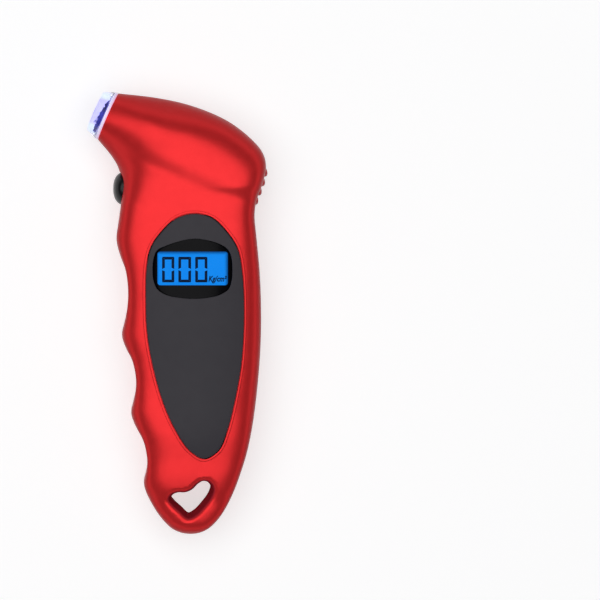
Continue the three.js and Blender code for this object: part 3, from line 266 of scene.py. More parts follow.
def crown_at(points, fan, front):
    """Height of the crown over plan points at a share of the way round the head."""
    grip = across_at(crown_lines[front], min(points[0, 1], NECK_Y)) if fan == 0 else across_at(
        crown_lines[front], NECK_Y)
    if fan == 0:
        return np.full(len(points), grip)
    along, aside = from_nozzle(points)
    low = smoothstep(aside, BARREL_LOW, BARREL_HIGH)
    near = smoothstep(along, *BARREL_FADE)
    thumb_fan, finger_fan = BARREL_FAN
    fade_end = thumb_fan + (finger_fan - thumb_fan) * (1 - smoothstep(along, *FAN_CHANGE))
    head = smoothstep(fan / fade_end, 0, 1)
    belongs = (1 - (1 - low) * near) * head
    barrel = np.minimum(barrels[front](np.maximum(along, 0) / LENGTH) * HALF_DEPTH, HEAD_DEPTH)
    crease = np.exp(-((aside - CREASE_SIDE) / CREASE_WIDE) ** 2) * head
    return grip + (barrel - grip) * belongs - crease_depth(along) * crease


def soft_floor(depth):
    """Depths eased to the flat pad, with a small round along its edge."""
    return -PAD_EASE * np.logaddexp(-depth / PAD_EASE, -PAD_DEPTH / PAD_EASE)


def half_section(finger, thumb, square, fan, groove, front, steps, inset=0):
    """Points over one half of a section, from the thumb side to the finger side."""
    middle, half = (finger + thumb) / 2, (thumb - finger) / 2
    reach = np.linalg.norm(half)
    across, up = superellipse(steps, square)
    extra = thumb_square(middle[1] / LENGTH) * (1 - smoothstep(fan, 0, THUMB_FADE))
    if extra > 0:  # the thumb side is squarer than the finger side
        power = square + float(extra)
        fuller = (1 - np.clip(across, 0, 1) ** power) ** (1 / power)
        up = np.where(across > 0, fuller, up)
    plan = middle + half * (across * max(reach - inset, TINY) / reach)[:, None]
    crown = np.maximum(crown_at(plan, fan, front) - inset, TINY)
    if fan > 0 and inset == 0:
        along, aside = from_nozzle(plan)
        fall = shoulder_fall(along) * np.maximum(aside, 0) ** 2 / 2
        crown = crown - fall * min(fan / SHOULDER_FAN, 1)
    fade = smoothstep(up, *GROOVE_FADE)
    plan[:, 0] -= np.where(across < 0, GROOVE_LOSS * groove * fade * across**2, 0)
    depth = up * crown
    if not front and inset == 0:
        depth = soft_floor(depth)
    return plan, depth


def head_square(share):
    """How square a section of the head is, at a share of the way to the nozzle."""
    start, end = SQUARE_FADE
    fade = smoothstep(share, start, end), smoothstep(0, start, end)
    full = float(grip_square(NECK))
    return full + (HEAD_ROUND - full) * float((fade[0] - fade[1]) / (1 - fade[1]))


def stations(start, grip_steps, fan_steps, fan_end=1):
    """The level sections of the grip, then those that fan round the head."""
    rows = []
    for k in range(grip_steps + 1):
        t = k / grip_steps
        ease = t * float(smoothstep(t, -START_EASE, START_EASE)) if start < 1 else t
        y = start + (NECK_Y - start) * ease
        finger = np.array([across_at(finger_side, y), y])
        thumb = np.array([across_at(thumb_side, y), y])
        groove = max(finger[0] - across_at(crest_line, y), 0)
        rows.append((finger, thumb, float(grip_square(y / LENGTH)), 0, groove))
    for k in range(1, fan_steps + 1):
        share = fan_end * k / fan_steps
        rows.append((along_line(finger_head, share), along_line(thumb_head, share),
                     head_square(share), share, 0))
    return rows


# Meshes ---------------------------------------------------------------------------------------

def linked(name, data):
    """A new object in the scene."""
    obj = bpy.data.objects.new(name, data)
    bpy.context.scene.collection.objects.link(obj)
    return obj


def mesh_object(name, points, faces):
    """A mesh object from points and faces."""
    mesh = bpy.data.meshes.new(name)
    mesh.from_pydata([tuple(map(float, p)) for p in points], [], faces)
    mesh.update()
    return linked(name, mesh)


def outwards(obj):
    """Turns a closed mesh's faces outwards."""
    shape = bmesh.new()
    shape.from_mesh(obj.data)
    bmesh.ops.remove_doubles(shape, verts=shape.verts, dist=1e-5)
    bmesh.ops.recalc_face_normals(shape, faces=shape.faces)
    if shape.calc_volume(signed=True) < 0:
        bmesh.ops.reverse_faces(shape, faces=shape.faces)
    shape.to_mesh(obj.data)
    shape.free()
    obj.data.update()
    return obj


def ring_solid(name, rings, poles=True):
    """A closed mesh through rings of points; its ends meet in middle points."""
    count = len(rings[0])
    points = [p for ring in rings for p in ring]
    faces = []
    for r in range(len(rings) - 1):
        for k in range(count):
            a, b = r * count + k, r * count + (k + 1) % count
            faces.append((a, b, b + count, a + count))
    if poles:
        points += [np.mean(rings[0], axis=0), np.mean(rings[-1], axis=0)]
        last = (len(rings) - 1) * count
        for k in range(count):
            n = (k + 1) % count
            faces.append((len(points) - 2, n, k))
            faces.append((len(points) - 1, last + k, last + n))
    else:
        for k in range(count):
            a, b = (len(rings) - 1) * count + k, (len(rings) - 1) * count + (k + 1) % count
            faces.append((a, b, (k + 1) % count, k))
    return outwards(mesh_object(name, points, faces))


def evaluated_mesh(obj):
    """The plain mesh that an object has with its modifiers."""
    graph = bpy.context.evaluated_depsgraph_get()
    graph.update()
    return bpy.data.meshes.new_from_object(obj.evaluated_get(graph))


def combine(obj, other, operation="DIFFERENCE", keep=False):
    """Cuts, joins or intersects one closed mesh with another."""
    modifier = obj.modifiers.new("combine", "BOOLEAN")
    modifier.operation = operation
    modifier.solver = "MANIFOLD"
    modifier.object = other
    mesh = evaluated_mesh(obj)
    obj.modifiers.clear()
    if len(mesh.polygons) == 0:
        raise ValueError("nothing is left of " + obj.name + " after " + other.name)
    obj.data = mesh
    if not keep:
        bpy.data.objects.remove(other)
    return obj


def duplicate(obj):
    """A second object with its own copy of the mesh."""
    other = obj.copy()
    other.data = obj.data.copy()
    bpy.context.scene.collection.objects.link(other)
    return other


def box(low, high, name="box"):
    """A block between two corners."""
    (a, b, c), (d, e, f) = low, high
    rings = [[(x, y, z) for x, y in ((a, b), (d, b), (d, e), (a, e))] for z in (c, f)]
    return ring_solid(name, np.array(rings, float))


def grown(outline, by):
    """A closed outline moved outwards, or inwards for a negative distance."""
    along = np.roll(outline, -1, axis=0) - np.roll(outline, 1, axis=0)
    along /= np.linalg.norm(along, axis=1)[:, None]
    x, y = outline.T
    turn = np.sign(np.sum(x * np.roll(y, -1) - y * np.roll(x, -1)))
    return outline + turn * by * np.column_stack([along[:, 1], -along[:, 0]])


def loft(outline, levels, name="loft", poles=True):
    """A solid through grown copies of an outline; each level is (growth, height)."""
    rings = []
    for growth, height in levels:
        ring = grown(outline, growth)
        z = height(ring[:, 0], ring[:, 1]) if callable(height) else np.full(len(ring), height)
        rings.append(np.column_stack([ring, z]))
    return ring_solid(name, rings, poles)


def even_outline(shares, count, look):
    """Evenly spaced points on a closed outline, drawn in about the foot of the view."""
    line = VIEW_FOOT + (spline(scaled(shares), closed=True) - VIEW_FOOT) * look
    line = np.vstack([line, line[:1]])
    lengths = run_along(line)
    place = np.linspace(0, lengths[-1], count, endpoint=False)
    return np.column_stack([np.interp(place, lengths, line[:, k]) for k in (0, 1)])


def rounded_outline(x, y, width, height, corner, steps=8):
    """A rectangle with rounded corners round a middle."""
    points = []
    for k, (sx, sy) in enumerate(((1, 1), (-1, 1), (-1, -1), (1, -1))):
        for j in range(steps + 1):
            angle = (k + j / steps) * math.pi / 2
            points.append((x + sx * (width / 2 - corner) + corner * math.cos(angle),
                           y + sy * (height / 2 - corner) + corner * math.sin(angle)))
    return np.array(points)


def lathe(profile, steps=64, name="lathe", closed=False):
    """A shape turned about Z from (radius, height) pairs. Closed profiles make a ring."""
    angle = np.linspace(0, 2 * math.pi, steps, endpoint=False)
    rings = [
        np.column_stack([max(r, 1e-4) * np.cos(angle), max(r, 1e-4) * np.sin(angle),
                         np.full(steps, h)])
        for r, h in profile
    ]
    return ring_solid(name, rings, poles=not closed)


def rounded(profile, radius, steps=4):
    """A profile whose inner corners are rounded."""
    result = [profile[0]]
    for before, here, after in zip(profile, profile[1:], profile[2:]):
        a, b, c = (np.array(p, float) for p in (before, here, after))
        r = min(radius, np.linalg.norm(a - b) / 2.1, np.linalg.norm(c - b) / 2.1)
        p, q = b + (a - b) / np.linalg.norm(a - b) * r, b + (c - b) / np.linalg.norm(c - b) * r
        for k in range(steps + 1):
            t = k / steps
            result.append(tuple((1 - t) ** 2 * p + 2 * t * (1 - t) * b + t**2 * q))
    result.append(profile[-1])
    return result


def moved(obj, change):
    """Applies a function on the (n, 3) array of an object's points."""
    points = np.empty(len(obj.data.vertices) * 3)
    obj.data.vertices.foreach_get("co", points)
    points = change(points.reshape(-1, 3))
    obj.data.vertices.foreach_set("co", points.reshape(-1))
    obj.data.update()
    return obj


def on_nozzle(obj):
    """Puts a shape turned about Z on the nozzle's axis, its +Z pointing out."""
    basis = np.array([[nozzle_out[1], -nozzle_out[0], 0], [0, 0, -1],
                      [nozzle_out[0], nozzle_out[1], 0]])
    return moved(obj, lambda p: p @ basis + (joint[0], joint[1], 0))


def joined(name, objects):
    """Several meshes as one object."""
    points, faces, count = [], [], 0
    for obj in objects:
        points += [v.co.copy() for v in obj.data.vertices]
        faces += [tuple(v + count for v in p.vertices) for p in obj.data.polygons]
        count = len(points)
        bpy.data.objects.remove(obj)
    return mesh_object(name, points, faces)


# Place of the drawing's origin in the row frame, in millimetres, read from two CAD pieces
glass_box = [Vector(corner) * 1000 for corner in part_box("lcd_glass")]
shell_box = [Vector(corner) * 1000 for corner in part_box("front_shell")]
origin = np.array([
    (glass_box[0].x + glass_box[1].x) / 2 - DISPLAY[0],
    (glass_box[0].y + glass_box[1].y) / 2 - DISPLAY[1],
    shell_box[0].z - SEAM,
])


def settle(obj, name, body, material, replaces=(), angle=35):
    """Names a finished piece, puts it in the row frame and gives it its body and material."""
    obj.name = name
    obj.data.name = name
    moved(obj, lambda p: (p + origin) / 1000)
    obj.data.materials.clear()
    obj.data.materials.append(material)
    obj.data.polygons.foreach_set("material_index", [0] * len(obj.data.polygons))
    obj.data.shade_smooth()
    obj.data.set_sharp_from_angle(angle=math.radians(angle))
    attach(obj, body)
    if replaces:
        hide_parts(*replaces)
    return obj


# Materials --------------------------------------------------------------------------------------

class Tree:
    """A node tree, with short ways to add and link nodes."""

    def __init__(self, tree):
        self.tree = tree

    def add(self, kind, settings=(), **inputs):
        whole = kind.startswith(("Geometry", "Function", "Node"))
        node = self.tree.nodes.new(kind if whole else "ShaderNode" + kind)
        for key, value in dict(settings).items():
            setattr(node, key, value)
        for key, value in inputs.items():
            self.feed(node, key.replace("_", " "), value)
        return node

    def feed(self, node, key, value):
        """Sets an input, or links it to a socket, a node's first output or several of them."""
        socket = node.inputs[int(key) if key.isdigit() else key]
        if isinstance(value, list):
            for part in value:
                self.feed(node, key, part)
        elif isinstance(value, bpy.types.NodeSocket):
            self.tree.links.new(value, socket)
        elif isinstance(value, bpy.types.Node):
            self.tree.links.new(value.outputs[0], socket)
        else:
            socket.default_value = value

    def math(self, operation, *values):
        node = self.add("Math", {"operation": operation})
        for k, value in enumerate(values):
            self.feed(node, str(k), value)
        return node.outputs[0]

    def range(self, value, low, high, to_low, to_high, smooth=False):
        node = self.add("MapRange", {"interpolation_type": "SMOOTHSTEP" if smooth else "LINEAR"},
                        Value=value, From_Min=low, From_Max=high, To_Min=to_low, To_Max=to_high)
        return node.outputs["Result"]

    def mix(self, factor, a, b):
        node = self.add("Mix", {"data_type": "RGBA"})
        for key, value in zip("067", (factor, a, b)):
            self.feed(node, key, (*value, 1) if isinstance(value, tuple) else value)
        return node.outputs[2]


class Nodes(Tree):
    """A material's nodes round its main shader."""

    def __init__(self, name):
        self.material = bpy.data.materials.new(name)
        self.material.use_nodes = True
        super().__init__(self.material.node_tree)
        self.shader = self.tree.nodes["Principled BSDF"]
        self.output = self.tree.nodes["Material Output"]

    def set(self, **inputs):
        for key, value in inputs.items():
            self.feed(self.shader, key.replace("_", " "), value)

    def place(self):
        return self.add("TexCoord").outputs["Object"]

    def noise(self, scale, detail=3, roughness=0.5, vector=None):
        node = self.add("TexNoise", Scale=scale, Detail=detail, Roughness=roughness,
                        Vector=vector or self.place())
        return node.outputs["Fac"]

    def bump(self, height, strength, distance):
        node = self.add("Bump", Strength=strength, Distance=distance, Height=height)
        self.set(Normal=node.outputs["Normal"])
        return node


def srgb(*channels):
    """A colour seen on screen, as the linear values that a shader takes."""
    return tuple(c / 255 / 12.92 if c <= 10 else ((c / 255 + 0.055) / 1.055) ** 2.4
                 for c in channels)


def moulded(name, colour, roughness, grain=900, depth=0.00002, spread=0.06, **inputs):
    """Moulded plastic or rubber: a slightly uneven colour, a fine grain and uneven gloss."""
    n = Nodes(name)
    cloud = n.noise(60, 4)
    darker = tuple(c * (1 - spread) for c in colour)
    n.set(Base_Color=n.mix(cloud, darker, colour))
    n.set(Roughness=n.range(n.noise(grain / 6, 3), 0.3, 0.7, roughness * 0.9, roughness * 1.12))
    n.bump(n.noise(grain, 2), 0.25, depth)
    n.set(**inputs)
    return n.material


def metal(name, colour, roughness, brushed=0, painted_shade_attribute=None):
    """Metal with fine turning or rolling marks and uneven gloss."""
    n = Nodes(name)
    stretched = n.add("Mapping", Vector=n.place(), Scale=(1, 1 + brushed, 1))
    marks = n.noise(1400, 3, vector=stretched.outputs["Vector"])
    shade = n.mix(n.noise(90), tuple(c * 0.86 for c in colour), colour)
    # Painted shade: a much darker colour where the named point attribute is set, as in the screws'
    # recesses
    if painted_shade_attribute:
        depth = n.add("Attribute", {"attribute_name": painted_shade_attribute}).outputs["Fac"]
        shade = n.mix(depth, shade, tuple(c * 0.06 for c in colour))
    n.set(Metallic=1.0, Base_Color=shade)
    n.set(Roughness=n.range(marks, 0.25, 0.75, roughness * 0.75, roughness * 1.35))
    n.bump(marks, 0.2, 0.00001)
    return n.material


def satin_red():
    """Satin metallic paint: fine flakes under a thin clear coat."""
    n = Nodes("satin_red")
    flakes = n.add("TexVoronoi", Scale=5200, Vector=n.place()).outputs["Color"]
    glint = n.add("SeparateColor", Color=flakes).outputs[0]
    cloud = n.noise(35, 3)
    base = n.mix(cloud, srgb(241, 50, 53), srgb(247, 54, 57))
    # The heart's inner wall gets a darker red and no gloss: painted shade, masked by the bore
    # attribute
    bore = n.add("Attribute", {"attribute_name": "bore"}).outputs["Fac"]
    paint = n.mix(n.range(glint, 0, 1, 0, 0.16), base, srgb(255, 70, 70))
    n.set(Base_Color=n.mix(bore, paint, srgb(190, 48, 62)))
    facing = n.add("LayerWeight", Blend=0.5).outputs["Facing"]
    gloss = n.range(facing, 0.1, 0.4, 0.5, 0.03, smooth=True)
    n.set(Metallic=n.math("MULTIPLY", gloss, n.range(bore, 0, 1, 1, 0)),
          Specular_IOR_Level=n.range(bore, 0, 1, 0.08, 0),
          Specular_Tint=srgb(255, 150, 150) + (1,))
    n.set(Roughness=n.range(n.noise(420, 3), 0.3, 0.7, 0.32, 0.38))
    peel = n.noise(700, 2)
    fine = n.math("ADD", peel, n.math("MULTIPLY", glint, 0.25))
    n.bump(fine, 0.12, 0.00002)
    return n.material


def plate_grey():
    """Dark grey plate with a very fine spark-eroded grain and a soft sheen."""
    n = Nodes("plate_grey")
    cloud = n.noise(28, 3)
    n.set(Base_Color=n.mix(cloud, srgb(62, 60, 66), srgb(69, 66, 72)))
    n.set(Roughness=n.range(n.noise(300, 3), 0.3, 0.7, 0.38, 0.46), Specular_IOR_Level=0.15)
    n.bump(n.noise(2600, 2), 0.3, 0.00002)
    return n.material


def beyond_screen(n, inset=0.0):
    """How far a point lies beyond the screen's sides across and along the gauge, in metres."""
    place = n.add("SeparateXYZ", Vector=n.place())
    beyond = []
    for k, axis in enumerate("XY"):
        middle = (origin[k] + DISPLAY[k]) / 1000
        away = n.math("ABSOLUTE", n.math("SUBTRACT", place.outputs[axis], middle))
        beyond.append(n.math("SUBTRACT", away, SCREEN[k] / 2000 - inset))
    return beyond


def window_black():
    """Glossy black window, clear over the screen."""
    n = Nodes("window_black")
    corner = 0.001
    reach = [n.math("MAXIMUM", part, 0.0) for part in beyond_screen(n, corner)]
    distance = n.math("SQRT", n.math("ADD", n.math("MULTIPLY", reach[0], reach[0]),
                                     n.math("MULTIPLY", reach[1], reach[1])))
    glint = n.range(n.add("LayerWeight", Blend=0.5).outputs["Facing"], 0.6, 0.95, 0.04, 0.95)
    n.set(Alpha=n.math("MAXIMUM", glint, n.range(
        distance, corner - 0.00003, corner + 0.00003, 0, 1)))
    n.set(Base_Color=n.mix(n.noise(120), srgb(6, 6, 9), srgb(14, 14, 17)))
    n.set(Roughness=n.range(n.noise(220), 0.3, 0.7, 0.2, 0.26), Specular_IOR_Level=0.07)
    n.bump(n.noise(160, 1), 0.03, 0.0001)
    return n.material


def lcd_blue():
    """Blue-lit display glass, darker under the window's top and right edges."""
    n = Nodes("lcd_blue")
    place = n.add("SeparateXYZ", Vector=n.place())
    left = (origin[0] + DISPLAY[0] - SCREEN[0] / 2) / 1000
    top = (origin[1] + DISPLAY[1] + SCREEN[1] / 2) / 1000
    right = left + SCREEN[0] / 1000
    shade_top = n.range(place.outputs["Y"], top - 0.0013, top + 0.0002, 0, 0.85, smooth=True)
    shade_right = n.range(place.outputs["X"], right - 0.0013, right + 0.0002, 0, 0.8, smooth=True)
    shade_left = n.range(place.outputs["X"], left - 0.0002, left + 0.0006, 0.5, 0, smooth=True)
    shade = n.math("MAXIMUM", n.math("MAXIMUM", shade_top, shade_right), shade_left)
    cells = n.add("TexVoronoi", Scale=9000, Vector=n.place()).outputs["Distance"]
    glow = n.mix(n.noise(70, 2), srgb(0, 131, 243), srgb(8, 143, 250))
    glow = n.mix(n.range(cells, 0, 0.6, 0, 0.08), glow, srgb(40, 160, 255))
    glow = n.mix(shade, glow, srgb(3, 40, 92))
    outside = n.math("MAXIMUM", *beyond_screen(n))
    glow = n.mix(n.range(outside, 0.0003, 0.0006, 0, 1), glow, (0, 0, 0))
    n.set(Base_Color=srgb(3, 50, 90) + (1,), Roughness=0.35, Specular_IOR_Level=0.05,
          Emission_Strength=0.95)
    n.set(Emission_Color=glow)
    return n.material


def lit_clear(name, tint, glow, strength, weight, roughness=0.05):
    """Clear plastic with blue light in it."""
    n = Nodes(name)
    streaks = n.noise(260, 3)
    n.set(Base_Color=n.mix(streaks, tint, tuple(0.5 + c / 2 for c in tint)),
          Transmission_Weight=weight, IOR=1.45, Emission_Strength=strength)
    n.set(Emission_Color=n.mix(n.noise(150, 2), glow, tuple(c * 0.8 + 0.1 for c in glow)))
    n.set(Roughness=n.range(streaks, 0.3, 0.7, roughness, roughness * 1.6))
    n.bump(n.noise(900, 2), 0.05, 0.00005)
    return n.material


def lamp_glow():
    """Light of the two lamps in the tip: white at the lamps, deep blue towards the shells."""
    n = Nodes("lamp_glow")
    middle = Vector(((joint[0] + origin[0]) / 1000, (joint[1] + origin[1]) / 1000, 0))
    out = Vector((*nozzle_out, 0))
    aside = Vector((nozzle_out[1], -nozzle_out[0], 0))

    def reach(direction):
        node = n.add("VectorMath", {"operation": "DOT_PRODUCT"}, **{"0": n.place(), "1": direction})
        return n.math("SUBTRACT", node.outputs["Value"], middle.dot(direction))

    ragged = n.range(n.noise(240, 3, 0.6), 0.3, 0.7, -0.001, 0.001)
    side = n.math("MULTIPLY", n.math("ADD", reach(aside), 0.0008), 1 / 0.0047)
    hump = n.math("MULTIPLY", n.math("MULTIPLY", side, side), -0.0019)
    along = n.math("SUBTRACT", n.math("ADD", reach(out), ragged), hump)
    lilac = n.mix(n.noise(330, 3), srgb(178, 176, 250), srgb(214, 212, 255))
    near_lamp = n.range(n.math("ABSOLUTE", reach(aside)), 0.0036, 0.0046, 0, 1, smooth=True)
    lilac = n.mix(n.math("MULTIPLY", near_lamp, 0.85), lilac, srgb(222, 240, 255))
    blue = n.mix(n.range(n.noise(500, 3), 0.35, 0.65, 0, 1), srgb(4, 2, 78), srgb(30, 34, 148))
    glow = n.mix(n.range(along, 0.0029, 0.0033, 0, 1, smooth=True), blue, lilac)
    n.set(Base_Color=glow, Roughness=0.4, Specular_IOR_Level=0.3, Emission_Strength=0.55)
    n.set(Emission_Color=glow)
    n.bump(n.noise(600, 2), 0.2, 0.0001)
    return n.material


def board_green():
    """Circuit board with solder mask, copper runs and dots of solder."""
    n = Nodes("board_green")
    place = n.place()
    runs = n.add("TexBrick", {"offset": 0.5, "squash": 1.0}, Scale=420, Vector=place,
                 Mortar_Size=0.045, Color1=(0, 0, 0, 1), Color2=(0, 0, 0, 1), Mortar=(1, 1, 1, 1))
    dots = n.add("TexVoronoi", Scale=650, Vector=place).outputs["Distance"]
    solder = n.range(dots, 0.1, 0.14, 1, 0)
    mask = n.mix(n.noise(80), srgb(18, 84, 46), srgb(24, 100, 56))
    colour = n.mix(n.range(runs.outputs["Color"], 0, 1, 0, 0.55), mask, srgb(70, 140, 80))
    n.set(Base_Color=n.mix(solder, colour, srgb(190, 190, 195)), Roughness=0.35)
    n.set(Metallic=n.range(solder, 0, 1, 0, 0.9))
    n.bump(n.math("ADD", runs.outputs["Color"], solder), 0.3, 0.00004)
    return n.material


RED = satin_red()
GREY = plate_grey()
WINDOW_BLACK = window_black()
LCD_BLUE = lcd_blue()
DIGIT_NAVY = moulded("digit_navy", srgb(2, 36, 78), 0.4, Specular_IOR_Level=0.05)
BUTTON_BLACK = moulded("button_black", srgb(22, 21, 23), 0.32, 500, 0.000008,
                       Specular_IOR_Level=0.3)
CLEAR_TIP = lit_clear("clear_tip", srgb(236, 236, 252), srgb(90, 95, 220), 0.02, 0.96)
LIT_BORE = lit_clear("lit_bore", srgb(50, 60, 190), srgb(30, 36, 170), 0.7, 0.0, 0.2)
# The rim's glow is painted light, which keeps it bright white and lilac
TIP_RIM = moulded("tip_rim", srgb(240, 234, 252), 0.4, Emission_Strength=0.42,
                  Emission_Color=srgb(226, 212, 255) + (1,))
LAMP_GLOW = lamp_glow()
SEAL_PALE = moulded("seal_pale", srgb(214, 214, 232), 0.55)
DARK_PLASTIC = moulded("dark_plastic", srgb(40, 40, 45), 0.5)
PALE_PLASTIC = moulded("pale_plastic", srgb(226, 222, 212), 0.45)
LIGHT_GUIDE = moulded("light_guide", srgb(222, 232, 242), 0.4)
CONTACT_RUBBER = moulded("contact_rubber", srgb(62, 62, 72), 0.8, 1500)
BLACK_RUBBER = moulded("black_rubber", srgb(26, 26, 27), 0.7, 1500)
SILICONE = moulded("silicone", srgb(226, 230, 232), 0.35, Subsurface_Weight=0.1)
EPOXY = moulded("epoxy", srgb(20, 20, 24), 0.25)
LAMP_BLUE = lit_clear("lamp_blue", srgb(70, 90, 240), srgb(60, 80, 250), 0.8, 0.3)
BRASS = metal("brass", srgb(196, 156, 92), 0.28)
CONTACT_METAL = metal("contact_metal", srgb(214, 196, 150), 0.3, 3)
CELL_STEEL = metal("cell_steel", srgb(205, 207, 212), 0.24, 4)
# The screws' recesses get painted shade
SCREW_STEEL = metal("screw_steel", srgb(150, 152, 158), 0.32, painted_shade_attribute="recess")
BOARD_GREEN = board_green()


# The two shells ----------------------------------------------------------------------------------

SECTION_STEPS = 56
SEAM_STEPS = ((0.25, 0.3), (0.9, 0))  # drawn in and up from the seam, as shares of SEAM_ROUND


def half_body(front, name, rows, steps, inset=0):
    """One half of the body as a closed solid, its outer edge rounded where the seam is."""
    sign = 1 if front else -1
    rings = []
    for finger, thumb, square, fan, groove in rows:
        plan, depth = half_section(finger, thumb, square, fan, groove, front, steps, inset)
        if inset == 0:
            depth = np.maximum(depth, SEAM + SEAM_ROUND + 1e-4 * np.sin(
                np.linspace(0, math.pi, len(depth))))
            first, last = plan[0], plan[-1]
            inwards = (last - first) / max(np.linalg.norm(last - first), 1e-6) * SEAM_ROUND
            for drawn, rise in SEAM_STEPS:
                level = [SEAM + SEAM_ROUND * rise]
                plan = np.vstack([first + inwards * drawn, plan, last - inwards * drawn])
                depth = np.concatenate([level, depth, level])
        rings.append(np.column_stack([plan, sign * depth]))
    return ring_solid(name, rings)


def surface_of(obj, side):
    """Height of an object's outside over plan points, looking along Z from one side."""
    tree = BVHTree.FromPolygons([v.co[:] for v in obj.data.vertices],
                                [p.vertices[:] for p in obj.data.polygons])

    def height(x, y):
        found = []
        for place in zip(x, y):
            hit = tree.ray_cast(Vector((*place, side * LENGTH)), Vector((0, 0, -side)))[0]
            found.append(hit.z if hit else found[-1] if found else 0)
        return np.array(found)

    return height


def plate_top(x, y):
    """Height of the faceplate's crowned top."""
    y = np.asarray(y, float)
    low, high = min(h for _, h in PLATE), PLATE[0][1]
    along = 2 * (y / LENGTH - low) / (high - low) - 1
    bulge = (PLATE_RISE - PLATE_END_RISE) * np.maximum(1 - along**4, 0)
    crown = across_at(crown_lines[True], np.minimum(y, NECK_Y))
    return crown + PLATE_END_RISE + bulge - (np.asarray(x) - DISPLAY[0]) ** 2 / (2 * PLATE_RADIUS)


plate_crest = float(plate_top(*DISPLAY))
glass_top = plate_crest - GLASS_SINK
plate_outline = even_outline(PLATE, 420, CROWN_LOOK)
window_outline = even_outline(WINDOW, 200, CROWN_LOOK)
heart_outline = even_outline(HEART, 180, HEART_LOOK)


def rim_levels(radius, steps=6):
    """Growth and drop below a surface for a cutter that leaves a rounded rim."""
    levels = [(radius * 1.9, -1.2)]
    for k in range(steps + 1):
        angle = math.pi / 2 * k / steps
        levels.append((radius * (1 - math.sin(angle)), radius * (1 - math.cos(angle))))
    return levels


def heart_cutter(front_height, rear_height):
    """A cutter that narrows towards the back and rounds both rims."""
    levels = []
    for growth, drop in rim_levels(HEART_RIM):
        levels.append((growth, lambda x, y, d=drop: front_height(x, y) - d))
    levels += [(-HEART_DRAFT * 0.75, lambda x, y: np.full(len(x), 0.5)),
               (-HEART_DRAFT, lambda x, y: np.full(len(x), -0.5))]
    for growth, drop in reversed(rim_levels(HEART_BACK_RIM)):
        levels.append((growth - HEART_DRAFT, lambda x, y, d=drop: rear_height(x, y) + d))
    return loft(heart_outline, levels, "heart")


def mark_bore(obj):
    """How far each point belongs to the heart's inner wall, kept on the mesh as the mask of the
    painted shade there.
    """
    points = np.array([v.co[:2] for v in obj.data.vertices]) * 1000
    outline = heart_outline + origin[:2]
    away = np.full(len(points), 9.0)
    near = np.flatnonzero(np.linalg.norm(points - outline.mean(axis=0), axis=1) < 15)
    for k in near:
        spokes = outline - points[k]
        away[k] = np.min(np.linalg.norm(spokes, axis=1))
        turns = np.diff(np.unwrap(np.arctan2(spokes[:, 1], spokes[:, 0])))
        if abs(turns.sum()) > math.pi:
            away[k] = 0
    mark = obj.data.attributes.new("bore", "FLOAT", "POINT")
    mark.data.foreach_set("value", 1 - smoothstep(away, *HEART_SHADE_FADE))


class ShapeTree(Tree):
    """A geometry node tree with named inputs that ends in real, finished meshes."""

    def __init__(self, name, kinds):
        super().__init__(bpy.data.node_groups.new(name, "GeometryNodeTree"))
        face = self.tree.interface
        face.new_socket("Geometry", in_out="OUTPUT", socket_type="NodeSocketGeometry")
        self.inputs = {
            label: face.new_socket(label, in_out="INPUT", socket_type="NodeSocket" + kind)
            for label, kind in kinds.items()}
        self.source = self.add("NodeGroupInput")

    def given(self, label):
        return self.source.outputs[label]

    def vector(self, x=0.0, y=0.0, z=0.0):
        return self.add("CombineXYZ", X=x, Y=y, Z=z)

    def place_copies(self, points, shape, **inputs):
        """Sets copies of a shape on points, makes them real and gives them their finish."""
        copies = self.add("GeometryNodeInstanceOnPoints", Points=points, Instance=shape, **inputs)
        real = self.add("GeometryNodeRealizeInstances", Geometry=copies)
        finish = self.add("GeometryNodeSetMaterial", Geometry=real, Material=self.given("Finish"))
        self.add("NodeGroupOutput", **{"0": finish})

    def mesh(self, name, source, values):
        """The plain mesh that the tree makes from a source object."""
        modifier = source.modifiers.new("shape", "NODES")
        modifier.node_group = self.tree
        for label, value in values.items():
            modifier[self.inputs[label].identifier] = value
        source.data.update()
        mesh = evaluated_mesh(source)
        source.modifiers.clear()
        bpy.data.objects.remove(source)
        if len(mesh.polygons) == 0:
            raise ValueError("the tree made nothing for " + name)
        return linked(name, mesh)


RIB_TAPER, RIB_LEAN = -0.3, -0.15


def ribs_tree():
    """Stretched balls set along a line at an even pitch, each tapered and leaning along it."""
    n = ShapeTree("thumb_ribs", {
        "Edge": "Geometry", "Pitch": "Float", "Ribs Length": "Float", "Rib Size": "Vector",
        "Finish": "Material"})
    curve = n.add("GeometryNodeMeshToCurve", Mesh=n.given("Edge"))
    trimmed = n.add("GeometryNodeTrimCurve", {"mode": "LENGTH"},
                    **{"0": curve, "5": n.given("Ribs Length")})
    points = n.add("GeometryNodeResampleCurve", {"mode": "LENGTH"}, Curve=trimmed,
                   Length=n.given("Pitch"))
    turn = n.add("FunctionNodeAlignRotationToVector", {"axis": "Y"},
                 Vector=n.add("GeometryNodeInputTangent"))
    x, y, z = n.add("SeparateXYZ", Vector=n.add("GeometryNodeInputPosition")).outputs
    bulge = n.math("MULTIPLY", x, n.math("MULTIPLY_ADD", y, RIB_TAPER, 1.0))
    lean = n.math("MULTIPLY_ADD", x, RIB_LEAN, y)
    ball = n.add("GeometryNodeMeshUVSphere", Segments=28, Rings=24, Radius=1)
    rib = n.add("GeometryNodeSetPosition", Geometry=ball, Position=n.vector(bulge, lean, z))
    n.place_copies(points, rib, Rotation=turn, Scale=n.given("Rib Size"))
    return n


RIB_COUNT, RIB_PITCH, RIB_SINK, RIB_START = 4, 3.35, 0.3, 0.757
RIB_SIZE = (1.15, 1.5, 4.4)


